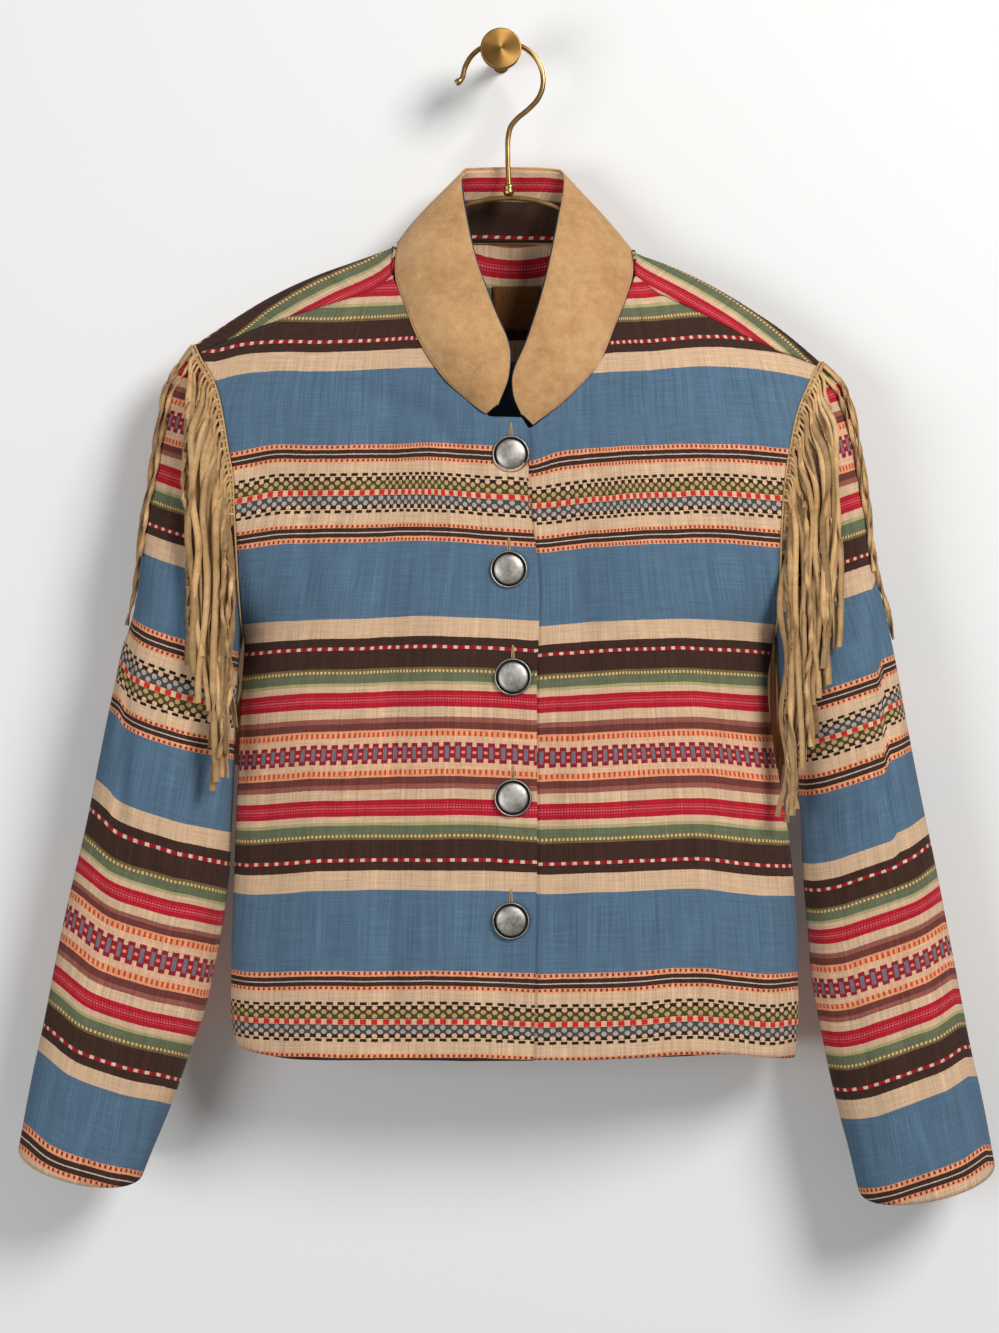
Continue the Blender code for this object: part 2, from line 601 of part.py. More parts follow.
def fringe(name, sign, made, where, helpers, rng):
    """Strands joined to their backing."""
    points, faces = [], []
    for path, looks in fringe_strands(sign, rng):
        corner, face = strand(path, looks)
        start = sum(len(p) for p in points)
        faces += [tuple(n + start for n in f) for f in face]
        points.append(corner)
    strands = mesh_object(name + "_strands", np.concatenate(points), faces, made, helpers)
    strands.hide_render = True
    strands.display_type = "WIRE"
    grid = backing_grid(sign)
    backing = cloth(name, grid, BACKING_THICK, made, where, flip=sign < 0)
    join = backing.modifiers.new("Join", "BOOLEAN")
    join.operation = "UNION"
    join.solver = "EXACT"
    join.use_self = True
    join.object = strands
    return backing


def main():
    for old in list(bpy.data.objects):
        bpy.data.objects.remove(old)
    jacket = bpy.data.collections.new("Western fringe jacket")
    helpers = bpy.data.collections.new("Strands")
    bpy.context.scene.collection.children.link(jacket)
    bpy.context.scene.collection.children.link(helpers)
    helpers.hide_render = True

    striped = material("Striped blanket cloth", (0.09, 0.16, 0.31), 0.95)
    suede = material("Tan suede", (0.6, 0.38, 0.16), 0.9)
    label = material("Brown label", (0.2, 0.09, 0.05), 0.8)
    pewter = material("Pewter", (0.5, 0.46, 0.42), 0.35, 1.0)
    brass = material("Brass wire", (0.5, 0.3, 0.12), 0.35, 1.0)

    left = front_grid(TOP_LEFT, -1, True, 17, 17, 0.0)
    right = front_grid(TOP_RIGHT, 1, False, 17, 17, UNDERLAP)
    cloth("front_left", left, CLOTH, striped, jacket, flip=True)
    cloth("front_right", right, CLOTH, striped, jacket)
    cloth("back", back_grid(21, 13, 6), CLOTH, striped, jacket, flip=True)
    turns = np.linspace(-math.pi, math.pi, 20, endpoint=False)[:, None]
    lengths = np.linspace(0, 1, 17)[None, :]
    for name, sign in (("sleeve_left", -1), ("sleeve_right", 1)):
        grid = sleeve_points(sign, lengths, turns)
        cloth(name, grid, CLOTH, striped, jacket, flip=sign < 0, tube=True)

    collar = collar_grid(31, 5)
    cloth("collar_suede", collar, SUEDE, suede, jacket, flip=True)
    inner = collar_grid(31, 5, inset=1.2)
    inner = inner - normals(inner, True) * (SUEDE + LAY_GAP)
    cloth("collar_lining", inner, LINING, striped, jacket, flip=True)

    x = np.linspace(*LABEL_X, 4)[:, None]
    z = np.linspace(*LABEL_Z, 4)[None, :]
    x, z = np.broadcast_arrays(x, z)
    patch = np.stack([x, back_y(x, z) - CLOTH - 1.6 * LAY_GAP, z], -1)
    cloth("neck_label", patch, PATCH, label, jacket, flip=True)

    for number, (x, z) in enumerate(BUTTONS, 1):
        button = turned(f"button_{number}", BUTTON_OUTLINE, pewter, jacket, BUTTON_STEPS)
        slope = (front_y(x, z + 12) - front_y(x, z - 12)) / 24
        nearest = min(front_y(x, z + up) - slope * up for up in (-12, 0, 12))
        button.rotation_euler = (math.pi / 2 - math.atan(slope), 0, 0)
        button.location = ((x + CENTRE_X) * MM, (nearest - 0.6) * MM, z * MM)

    rng = np.random.default_rng(4)
    fringe("fringe_left", -1, suede, jacket, helpers, rng)
    fringe("fringe_right", 1, suede, jacket, helpers, rng)

    ball = [1.0] * len(HOOK)
    ball[0], ball[1] = 0.7, 1.35
    wire("hanger_hook", HOOK, ball, brass, jacket)
    ferrule = turned("hanger_ferrule", FERRULE, brass, jacket, 16)
    ferrule.location = (5.9 * MM, RIDGE_Y * MM, 0)
    out = np.array([ARM_END, 175, 150, 125, 106])
    arms = [(CENTRE_X - x, ridge(-x) - ARM_DROP) for x in out]
    arms += [*ARMS_AT_NECK]
    arms += [(CENTRE_X + x, ridge(x) - ARM_DROP) for x in out[::-1]]
    wire("hanger_arms", arms, [1.0] * len(arms), brass, jacket)

    peg = turned("wall_peg", WALL_PEG, brass, jacket, 22)
    peg.rotation_euler = (math.pi / 2, 0, 0)


main()
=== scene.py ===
"""The looks of a western fringe jacket that hangs on a wire hanger from a wall peg.

Sizes are in millimetres, measured across from the jacket's middle, CENTRE_X, and turned into
metres by MM. Left and right are the viewer's. The cloth follows the surfaces of the frame's
solids on finer grids, with more creases. The weave's stripes are charted below as rows of
(distance from the middle of the central band, colour), and each piece of cloth carries a UV
map that says where its points lie in the weave, in metres: across it and along its repeat.
"""

import math

import bpy
import mathutils
import numpy as np
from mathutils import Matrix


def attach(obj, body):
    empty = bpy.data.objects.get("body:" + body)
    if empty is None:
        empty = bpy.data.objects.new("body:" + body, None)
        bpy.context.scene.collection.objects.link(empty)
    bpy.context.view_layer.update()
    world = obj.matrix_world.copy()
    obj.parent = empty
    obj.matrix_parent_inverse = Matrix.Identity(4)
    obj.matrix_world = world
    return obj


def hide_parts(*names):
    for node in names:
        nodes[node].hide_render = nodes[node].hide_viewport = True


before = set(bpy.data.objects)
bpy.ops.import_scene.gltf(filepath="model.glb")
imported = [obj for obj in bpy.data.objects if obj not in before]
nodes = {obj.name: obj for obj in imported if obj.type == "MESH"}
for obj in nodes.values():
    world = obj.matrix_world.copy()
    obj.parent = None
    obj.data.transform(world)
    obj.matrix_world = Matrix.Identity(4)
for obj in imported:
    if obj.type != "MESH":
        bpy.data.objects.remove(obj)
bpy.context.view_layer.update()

MM = 0.001

# Cloth, as the solids have it
CLOTH, SUEDE, LINING, PATCH = 1.8, 1.4, 1.2, 1.0
SEAM_GAP, SIDE_GAP, EDGE_GAP, LAY_GAP = 1.4, 0.9, 0.6, 0.4
CENTRE_X = 9.8
RIDGE_Y, MIDDLE_Y = -42.0, -45.0
FRONT_DEPTH, BACK_DEPTH = 58.0, 30.0
TURN, EASE, ROUND = 6.0, 100.0, 2.6
UNDERARM_Z, LAST_COLUMN = -444.0, 0.995
FLARE, FLARE_RISE = 60.0, 60.0
NECK_HALF, UNDERLAP = 90.4, 2.7

RIDGE = (
    (-245, -223), (-233, -215), (-212, -201), (-180, -182), (-148, -167.5), (-116, -156),
    (-92, -147), (-80, -141.5), (-60, -137.5), (0, -135), (60, -140), (80, -145),
    (92, -151), (116, -160), (148, -175), (180, -194), (206, -212), (233, -235), (245, -246),
)
EDGE_LEFT = (
    (220.5, 241), (227, 238), (252, 224), (279, 217), (302, 213), (317, 210), (354, 207.5),
    (399, 205), (444, 203.5), (489, 206.5), (535, 208), (594, 210.5), (640, 212),
    (698, 213.5), (737, 212), (754, 207),
)
EDGE_RIGHT = (
    (233, 231), (252, 221), (273, 212), (296, 206.5), (321, 202), (359, 198.5), (399, 197),
    (444, 196), (474, 192), (515, 195), (552, 201), (594, 208), (640, 212.5), (698, 214.5),
    (737, 214.5), (758, 212),
)
HEM = (
    (-215, -747.5), (-191, -752.2), (-170, -754.4), (-140, -754.6), (-97, -754), (13, -754),
    (57, -753.4), (124, -751), (158, -751), (190, -755), (215, -758),
)
PLACKET = (
    (287, 10), (301, 11.6), (321, 10.5), (360, 13.5), (375, 16), (489, 16.6), (600, 16.7),
    (754, 14.5),
)
TOP_LEFT = (
    (0.0, 10, -287), (0.05, 5.5, -279.5), (0.14, -17.9, -279), (0.2, -25.3, -274.2),
    (0.26, -35.7, -266.2), (0.33, -51.3, -251.8), (0.4, -64, -234.1), (0.46, -73.9, -216.3),
    (0.52, -81.6, -195.9), (0.58, -91, -171.5), (0.67, -109, -183), (0.77, -145, -194),
    (0.85, -175, -203), (0.93, -208, -215), (1.0, -238, -227.5),
)
TOP_RIGHT = (
    (0.0, -14, -285), (0.09, 4, -287), (0.14, 12.4, -287.2), (0.2, 24.9, -277.5),
    (0.26, 39, -266.2), (0.33, 57.7, -246.5), (0.4, 67.5, -231.1), (0.46, 75.2, -211),
    (0.52, 83, -191.3), (0.58, 91, -169.5), (0.67, 109, -184), (0.77, 145, -201),
    (0.85, 172, -215), (0.93, 200, -227), (1.0, 228.5, -237),
)
NECK_BACK = (
    (0.36, -90.6, 0), (0.38, -88.5, -3), (0.41, -80, -5), (0.44, -62, -6.5), (0.5, 0, -9),
    (0.56, 62, -6.5), (0.59, 80, -5), (0.62, 88.5, -3), (0.64, 90.6, 0),
)
SHOULDER_START, SHOULDER_COLUMNS = 0.58, 0.33
COLLAR = (
    (-20.4, -276.9, -91, -12.6, -270.5, -93),
    (-25.3, -273.6, -91, -5.6, -252.6, -95),
    (-35.0, -265.6, -89, -3.9, -234.0, -95),
    (-50.6, -251.4, -87, -6.6, -220.4, -92),
    (-63.3, -233.8, -83, -14.4, -202.0, -87),
    (-73.2, -216.0, -78, -22.4, -180.3, -80),
    (-80.8, -195.6, -71, -29.9, -157.5, -71),
    (-89.0, -170.8, -58, -36.0, -130.4, -60),
    (-88.4, -144.8, -43, -40.6, -100.0, -45),
    (-85.5, -142.4, -31, -38.5, -87.5, -37),
    (-62.0, -139.6, -16.8, -28.5, -85.3, -31.5),
    (0.0, -139.8, -13.8, 0.0, -84.6, -30),
    (62.0, -142.0, -16.8, 28.5, -85.8, -31.5),
    (85.5, -145.8, -31, 37.5, -89.0, -37),
    (88.8, -149.0, -43, 38.6, -101.0, -45),
    (89.0, -169.0, -56, 34.8, -124.0, -57),
    (82.2, -191.0, -68, 29.9, -149.5, -68),
    (74.4, -210.6, -75, 24.4, -175.0, -77),
    (66.7, -230.6, -80, 17.6, -199.8, -85),
    (57.0, -246.0, -84, 9.2, -224.8, -90),
    (38.4, -265.4, -86, 1.6, -242.1, -92.5),
    (24.3, -276.7, -87, -0.8, -252.6, -92.5),
    (17.5, -281.6, -87, 0.8, -265.9, -91.5),
    (13.6, -284.6, -87, 6.0, -277.5, -89.5),
)
COLLAR_ROLL = ((0, 5), (0.26, 5), (0.36, 2.4), (0.64, 2.4), (0.76, 5), (1, 5))
ROLL_FORM = ((0, 0), (0.25, 0.88), (0.5, 1), (0.75, 0.62), (1, 0))
OUTER_LEFT = (
    (-242, -221), (-260.5, -251), (-269.5, -300.6), (-278.5, -357), (-288, -429.7),
    (-294.4, -448.3), (-300.4, -475.7), (-306.4, -503.6), (-312.6, -534.6), (-323.4, -588.2),
    (-334.6, -634.6), (-344.4, -680.3), (-354.2, -731.2), (-362.4, -768.6), (-373, -824.4),
)
INNER_LEFT = (
    (-204.4, -444.9), (-207.4, -462), (-208.8, -489), (-210.7, -535), (-212.7, -580),
    (-214.7, -618), (-220.5, -664), (-225.5, -688.6), (-233.2, -723.1), (-243, -751),
    (-256, -788), (-275.7, -835.8), (-279, -844.3),
)
OUTER_RIGHT = (
    (232, -233.5), (246.5, -250), (253.6, -269), (260.4, -304.4), (266.5, -351.5),
    (272.5, -398.7), (278.4, -417.6), (284.6, -447), (288.9, -468.7), (294.7, -500.5),
    (309.1, -574.1), (316.3, -607.3), (328.4, -669.4), (336.7, -712), (344.9, -754.2),
    (351.5, -782.2), (362, -836.5),
)
INNER_RIGHT = (
    (197.2, -444.9), (201, -480), (206, -515), (212, -545), (216, -570), (217.6, -611),
    (222, -666), (225.3, -703.7), (231.7, -738.2), (236.8, -764), (245, -799),
    (253.2, -829.7), (259.7, -857.6),
)
SLEEVE_RINGS = ((0, 0, 0), (0.34, 0.36, 0.07), (1, 1, 1))
SLEEVE_DEPTHS = ((0, 34, 30), (0.3, 38, 34), (0.7, 37, 33), (1, 34, 30))
SLEEVE_Y, SLEEVE_JOIN = -50.0, 0.3
CUFF_BOW, CUFF_BACK_BOW = 14.0, 4.0

# Fringe: strands end at (share of the strands from the outermost, z)
FRONT_STRANDS, BACK_STRANDS = 31, 15
ENDS_LEFT = ((0, -432), (0.25, -468), (0.5, -508), (0.7, -548), (0.85, -530), (1, -514))
ENDS_RIGHT = ((0, -444), (0.2, -456), (0.4, -482), (0.6, -516), (0.8, -554), (1, -576))
CURTAIN_LEFT, CURTAIN_RIGHT = (246, 207), (241, 199)
ROOTS_FROM, ROOTS_RUN = 0.03, 0.57  # the strands' share of the armhole
ROOT_REACH, ROOT_LIFT = (5.0, 8.5), (2.4, 4.6)  # how far a root bends out and off the cloth
OFF_CLOTH, OFF_RANGE = 1.4, 9.0  # how far off it a strand hangs
STRAY, END_STRAY = 2.6, (-16, 14)  # across, and of the end
STRAND_WIDTHS, TWISTED_WIDTH, DRAPED_WIDTH, STRAND_THICK = (3.8, 5.2), 4.0, 3.4, 1.1
# Strands over the sleeve, as (turn round it in half turns, share of its length)
DRAPED = ((0.02, 0.335), (0.06, 0.30), (0.125, 0.25), (-0.07, 0.31))
SLEEVE_LENGTH, INNER_LENGTH = 620, 85  # what a share of 1 is, outside and under the arm

# Buttonholes above the buttons' middles, and radii of the small cords
HOLE_FOOT, HOLE_TOP, HOLE_RADIUS = 12.6, 23.5, 0.5
RIM, COLLAR_FOOT, FACING_LINE, BORDER, SEAM_CORD = 0.85, 0.8, 1.0, 0.45, 0.85

# How fine the grids are, as (columns, rows), and the bare patch's bounds
FRONT_GRID, BACK_GRID, BACK_WRAP = (120, 170), (160, 120), 16
SLEEVE_GRID, COLLAR_GRID, PATCH_GRID = (97, 170), (181, 33), 12
PATCH_X, PATCH_Z = (-15.9, 20.1), (-206.7, -173.1)
FACING_INSET = 1.2

# Buttons, as (x, z), and their outline as (radius, height, whether it is dark: the groove, and the
# rim's outer wall as painted shadow)
BUTTONS = ((-2.5, -307.1), (-4.0, -392.4), (-1.0, -471.7), (-1.0, -560.6), (-2.5, -651.0))
BUTTON_OUTLINE = (
    (0.1, 0, 0), (12.6, 0, 1), (13.5, 0.5, 1), (13.8, 1.3, 1), (13.5, 2.2, 1), (13.3, 2.5, 0),
    (12.9, 2.6, 0), (12.7, 2.4, 1), (12.4, 1.3, 1), (11.2, 1.2, 1), (11.0, 2.3, 1),
    (10.6, 2.9, 0), (9.4, 3.5, 0), (6.5, 4.1, 0), (3.5, 4.5, 0), (0.1, 4.6, 0),
)

# Hanger and peg, as the solids have them: x from the peg's middle
WIRE = 2.0
HOOK = (
    (-34.2, -22.7), (-30.2, -19.8), (-26.9, -9.8), (-22.0, -1.6), (-14.5, 4.3), (-6.0, 7.2),
    (2.0, 8.0), (10.5, 7.1), (18.5, 3.9), (25.0, -1.6), (29.5, -8.6), (31.8, -17.0),
    (31.4, -26.2), (27.8, -34.6), (20.4, -42.6), (12.2, -49.4), (7.4, -55.5), (5.6, -63.0),
    (5.3, -76.0), (5.9, -98.8),
)
FERRULE = (
    (0.1, -99.1), (3.3, -99.1), (3.9, -99.6), (4.1, -101.5), (3.7, -103), (4.1, -104.6),
    (3.9, -106.6), (3.3, -107.1), (0.1, -107.1),
)
ARM_DROP = 6.4
ARMS_OUT = (200, 175, 150, 125, 106)
ARMS_AT_NECK = (
    (-85, -159.5), (-72, -151), (-60, -139.5), (-50, -130.5), (-40, -122.5), (-29, -116),
    (-10, -110.8), (5.9, -109.4), (22, -110.6), (42, -116.5), (55, -123), (66, -131.5),
    (76, -141), (88, -153), (103, -163.5),
)
WALL_PEG = (
    (0.1, 0), (6.4, 0), (6.4, 1.2), (5.5, 1.8), (5.5, 51), (11.5, 52), (14.4, 53.8),
    (15.3, 55.6), (15.5, 57.5), (15.5, 60.6), (15.3, 61.1), (14.9, 61.4), (14.6, 61.45),
    (7, 62.2), (0.1, 62.9),
)

# Folds, as (x, z at one end, x, z at the other, half width, height). The front's first six are
# the solids' own.
FRONT_FOLDS = (
    (126, -400, 124, -745, 22, 5.0),
    (166, -430, 172, -745, 15, -5.0),
    (-142, -430, -150, -745, 24, 3.5),
    (-180, -450, -184, -745, 14, -3.0),
    (-40, -285, -112, -262, 11, -3.0),
    (44, -290, 92, -262, 11, -3.5),
    (-92, -300, -96, -740, 13, -4.2),
    (-48, -310, -56, -700, 17, 2.6),
    (-191, -350, -186, -520, 10, -3.4),
    (-128, -250, -136, -440, 20, 3.6),
    (82, -262, 84, -440, 17, 3.8),
    (42, -330, 50, -470, 12, -3.6),
    (186, -430, 190, -730, 8, 2.6),
    (110, -255, 66, -330, 9, -2.6),
    (-70, -270, -30, -320, 8, -2.8),
    (205, -300, 150, -330, 9, -2.2),
    (-205, -310, -150, -345, 9, -2.2),
    (70, -640, 74, -748, 14, -2.6),
    (-30, -650, -34, -750, 15, 2.2),
    (30, -500, 40, -745, 11, -2.4),
    (-118, -560, -110, -750, 9, 1.6),
    (150, -300, 138, -400, 9, -2.4),
    (-165, -290, -150, -420, 8, -2.0),
    (72, -285, 70, -745, 32, 4.0),
    (-100, -450, -112, -700, 20, 2.2),
)
BACK_FOLDS = (
    (-120, -330, -128, -745, 20, 3.5),
    (-60, -360, -66, -740, 15, -3.0),
    (20, -300, 26, -745, 24, 2.6),
    (88, -340, 92, -745, 16, -3.2),
    (140, -380, 146, -745, 18, 3.6),
    (178, -420, 182, -740, 12, -2.6),
    (-176, -400, -180, -740, 12, -2.4),
    (-190, -300, -110, -340, 13, -1.8),
    (188, -300, 120, -345, 12, -2.0),
)
LEFT_SLEEVE_FOLDS = (
    (-285, -410, -292, -575, 5, -3.4),
    (-276, -420, -282, -580, 9, 2.8),
    (-252, -470, -226, -560, 9, -3.6),
    (-262, -520, -240, -660, 14, 3.2),
    (-236, -545, -222, -610, 7, -3.2),
    (-310, -600, -250, -640, 12, -2.6),
    (-330, -700, -262, -735, 14, 2.2),
    (-280, -660, -318, -800, 14, -2.6),
    (-240, -330, -250, -440, 10, -2.6),
    (-300, -640, -330, -790, 8, 1.8),
    (-258, -690, -284, -810, 8, -1.8),
)
RIGHT_SLEEVE_FOLDS = (
    (271, -395, 274, -560, 5, -3.4),
    (262, -400, 264, -570, 9, 2.6),
    (282, -420, 284, -555, 7, 1.6),
    (240, -500, 226, -600, 10, -3.4),
    (300, -590, 240, -640, 12, -2.6),
    (316, -700, 256, -740, 14, 2.2),
    (268, -660, 306, -800, 14, -2.8),
    (236, -330, 246, -440, 10, -2.6),
    (292, -640, 322, -790, 8, 1.8),
    (246, -690, 270, -820, 8, -1.8),
)

# Stripes from the middle of the central band, as (where it starts, colour)
REPEAT = 390.4
CREAM, PEACH, GLOW, BROWN = (214, 180, 147), (224, 179, 145), (232, 158, 118), (64, 43, 35)
RED, BLUE, GREEN, OLIVE = (180, 28, 46), (87, 113, 136), (104, 110, 84), (112, 98, 66)
DUSTY, DUSTY_DARK, LIGHT_GREEN = (152, 90, 78), (112, 60, 54), (176, 164, 116)
ORANGE, MAROON, GREY_BLUE, WHITE = (196, 74, 36), (146, 34, 48), (120, 112, 122), (204, 188, 174)
STRIPES = (
    (0, PEACH), (11.6, GLOW), (16.9, DUSTY_DARK), (22.6, DUSTY), (26.5, CREAM), (33.9, RED),
    (46.4, CREAM), (50.5, LIGHT_GREEN), (53.0, GREEN), (59.6, OLIVE), (63.4, BROWN),
    (86.4, CREAM), (101.3, BLUE), (158.0, GLOW), (162.0, BROWN), (164.9, WHITE),
    (166.2, BROWN), (168.9, GLOW), (172.2, CREAM),
)
# Marks along the rows, as (from and to across the weave, repeat and shift along it, from and to
# in that repeat, strength, colour): dotted lines through the red, yellow dots on olive, dashes
# on dark brown, dark squares beside the blue and orange bars beside the central band
PINK, YELLOW, DARK_RED = (226, 130, 130), (222, 184, 122), (142, 44, 28)
DASH_RED, DASH_PALE, DASH_DARK = (168, 26, 38), (222, 190, 168), (96, 34, 36)
MARKS = (
    (38.2, 39.0, 2.2, 0.0, 0.0, 0.6, 0.45, PINK),
    (39.9, 41.0, 2.2, 0.0, 0.0, 0.6, 0.75, PINK),
    (42.2, 42.9, 2.2, 0.0, 0.0, 0.6, 0.4, PINK),
    (60.3, 62.3, 3.2, 0.0, 0.0, 0.55, 1.0, YELLOW),
    (78.0, 80.4, 8.7, 0.0, 0.0, 1.0, 1.0, DASH_RED),
    (78.0, 80.4, 8.7, 0.0, 0.0, 0.38, 1.0, DASH_PALE),
    (78.0, 80.4, 8.7, 0.0, 0.66, 0.73, 1.0, DASH_DARK),
    (159.0, 161.2, 4.2, 0.0, 0.0, 0.42, 1.0, DARK_RED),
    (169.6, 171.6, 4.2, 0.0, 0.0, 0.42, 1.0, DARK_RED),
    (12.3, 16.0, 4.2, 0.2, 0.0, 0.42, 1.0, ORANGE),
)
# Marks in stitches that are MOTIF wide, as (from and to across the weave, from and to in half a
# stitch, colour). The central band has maroon blocks with grey-blue cores and beads between
# them. The checked band, half a repeat away, has red squares in the middle and black at the rim.
MOTIF = 8.5
BLACK = (44, 32, 26)
CENTRE_MARKS = (
    (1.1, 4.2, -0.1, MOTIF, MAROON),
    (-0.1, 1.1, -0.1, MOTIF, (214, 70, 62)),
    (-0.1, 0.9, MOTIF / 2 - 1.2, MOTIF, (238, 140, 112)),
    (-0.1, 7.5, -0.1, 2.65, MAROON),
    (-0.1, 4.7, -0.1, 1.6, GREY_BLUE),
)
CHECK_MARKS = (
    (0.0, 2.1, -0.1, MOTIF, PEACH),
    (0.0, 1.9, -0.1, 2.3, (206, 44, 36)),
    (11.2, 12.4, -0.1, 1.4, CREAM),
    (12.6, 14.8, -0.1, 2.55, BLACK),
)
# Its circles: how far the three rows lie from its middle, and their radius
CIRCLE_ROWS = (4.3, 7.4, 10.4)
CIRCLE, CIRCLE_SQUASH = 2.0, 1.25
GREENISH, GREEN_LINE = (182, 160, 108), (84, 66, 40)
BLUISH, BLUE_LINE = (172, 164, 156), (78, 72, 70)
# Noise over the cloth, as (scale along a row, scale across the rows, place, detail)
WOBBLE, SLOW = (1.1, 0.06, 0.0, 1.0), (0.02, 0.012, 3.0, 2.0)
FINE, WIDE, CROSS = (0.9, 0.02, 0.0, 3.0), (0.16, 0.01, 9.0, 2.0), (0.03, 1.1, 5.0, 3.0)
GRAIN_SCALE, THREAD_WIDTH = 2.2, 0.9

# Where the stripes lie, as (height in the picture, place in the weave, in 0.7366 mm)
STEP = 0.7366
BODY_ROWS = (
    (318, -447.3), (341.7, -422.5), (351.5, -412.7), (370.5, -392.5), (443, -315.5),
    (473.6, -284.5), (493, -265), (512.5, -245.5), (542.5, -214.5), (617, -137.5),
    (637, -117.3), (752, 0), (869.6, 117.3), (889.8, 137.5), (970, 214.5), (1002.5, 245.5),
    (1022, 265), (1041.5, 284.5), (1055, 297),
)
LEFT_ROWS = (
    (425.5, -530), (446.5, -510.7), (471.5, -484), (491.5, -467), (500.5, -458),
    (510.5, -449), (546.5, -412.7), (568.5, -392.5), (638, -315.5), (694.5, -265),
    (746.5, -214.5), (817.5, -137.5), (836.5, -117.3), (876.5, -82.8), (894.5, -63),
    (910.5, -46), (929.5, -22.9), (955, 0), (980.5, 22.9), (1004.5, 46), (1020.5, 63),
    (1042.5, 86), (1074, 117.3), (1089, 137.5), (1158, 214.5), (1184, 234),
)
RIGHT_ROWS = (
    (447, -530), (470, -510.7), (497, -484), (514, -467), (538, -447.3), (572, -412.7),
    (598, -392.5), (679.5, -315.5), (711, -284.5), (747, -245.5), (782.6, -214.5),
    (849.5, -137.5), (867, -117.3), (898, -82.8), (930.5, -46), (952, -22.9), (975, 0),
    (1016.8, 46), (1085.3, 117.3), (1105, 137.5), (1173, 214.5), (1202, 240),
)
# How far the rows droop below that, in the picture: (height, one value to each place across)
LEFT_ACROSS = (215, 240, 276, 318, 362, 400, 433, 487, 532)
LEFT_DROOP = (
    (355, 9, 3, 0, 0, -1, -3, -4, -3, 0),
    (445, 11, 7.5, 1, 1.5, 1.5, 0, -1, 1.5, 5),
    (493, 11, 8, 1, 0, 0, -1, -1, 3, 6),
    (617, 9, 8, 4.5, 3, 2, 0, -0.6, 1.6, 4),
    (752, 9, 9, 6, 3.5, 2.4, 1, 0, 1, 3.5),
    (890, -1, 4, 4, 1, 0, 0, 0, 0.6, 2),
    (1000, -8, -2, 0.5, 0, 0, 0, 0, 1, 3),
    (1050, -16, -7, -2, -0.5, 0, 0, 0, 0, 1),
)
RIGHT_ACROSS = (532, 556, 582, 612, 645, 675, 700, 735, 770, 795, 812)
RIGHT_DROOP = (
    (355, 4, 4, 3, 1, -1, -3, -5, -4.5, -1, 4, 9),
    (445, 18, 8, 5, 3, 1.5, 0, 0, 0.5, 3, 6, 8),
    (493, 13, 11, 8, 5, 2.5, 1, 0, 1.5, 4, 6, 8),
    (617, 10, 8, 6, 4, 2.5, 2, 2.5, 4.5, 7, 9, 10),
    (752, 6.5, 5.5, 5, 3, 1, 0, 0, 3, 6, 8, 8),
    (890, 4.4, 4, 3, 2.3, 0.5, -1, -1, 3, 6, 5.5, 5),
    (1000, 3, 2.5, 2, 1.5, 0, -3, -3.5, -0.5, 2.5, 0, -2),
)
# The same for the sleeves, from their middle line, which is (height, across) in the picture
LEFT_MIDDLE = ((420, 190), (555, 186), (640, 182), (830, 160), (953, 138), (1065, 112), (1160, 87))
LEFT_SLOPE = (
    (-80, -41), (-68, -33), (-40, -14), (-20, -6), (0, 0), (20, 5.5), (45, 10), (74, 16),
)
RIGHT_MIDDLE = (
    (450, 838), (640, 850), (750, 858), (850, 868), (966, 884), (1085, 904), (1175, 925),
)
RIGHT_SLOPE = (
    (-72, 12.5), (-62, 14), (-40, 12), (-14, 4.5), (0, 0), (25, -8.5), (40, -14), (66, -29),
)
# Distance from the central band where the back passes over the shoulders, as (across, mm)
SHOULDER_BAND = (
    (-235, 83), (-211, 81), (-180, 75), (-131, 69.6), (-100, 65), (-60, 40), (-25, 24),
    (25, 24), (60, 38), (96, 59), (109, 62), (167, 67), (206, 71), (235, 75),
)
BACK_FROM = -372.7  # height below which the back's rows are level with the front's
# Collar facing, as (share of its width from the base, distance in the weave)
FACING_ROWS = (
    (0, 84), (0.04, 80.7), (0.096, 77.7), (0.569, 64), (0.578, 27), (0.697, 33.9),
    (0.9, 46.4), (1, 49),
)

# Camera: a level view from the front
VIEW_X, VIEW_DISTANCE, VIEW_Z, FOCAL = -1.1, 2200.0, -464.0, 2851.0
PICTURE = (999, 1333)
SENSOR = 36.0


def through(rows, at):
    """Values at a position on a smooth curve through rows of (position, value, ...)."""
    rows = np.asarray(rows, float)
    place, value = rows[:, 0], rows[:, 1:]
    slope = np.gradient(value, place, axis=0)
    at = np.clip(np.asarray(at, float), place[0], place[-1])
    i = np.clip(np.searchsorted(place, at) - 1, 0, len(place) - 2)
    step = (place[i + 1] - place[i])[..., None]
    t = (at - place[i])[..., None] / step
    found = (
        (1 + 2 * t) * (1 - t) ** 2 * value[i]
        + t * (1 - t) ** 2 * step * slope[i]
        + t * t * (3 - 2 * t) * value[i + 1]
        + t * t * (t - 1) * step * slope[i + 1]
    )
    return found[..., 0] if found.shape[-1] == 1 else found


def along(points, share):
    """Places at shares of the length of a smooth line through points."""
    points = np.asarray(points, float)
    steps = np.linalg.norm(np.diff(points, axis=0), axis=1)
    run = np.concatenate([[0], np.cumsum(steps)]) / steps.sum()
    return through(np.column_stack([run, points]), share)


def ramp(start, end, value):
    """A smooth step from 0 at start to 1 at end."""
    t = np.clip((np.asarray(value, float) - start) / (end - start), 0, 1)
    return t * t * (3 - 2 * t)


def ridge(x):
    return through(RIDGE, x)


def edge(x, z):
    """How far out the body's edge lies at a height, on the side of x."""
    down = -np.asarray(z, float)
    return np.where(np.asarray(x) < 0, through(EDGE_LEFT, down), through(EDGE_RIGHT, down))


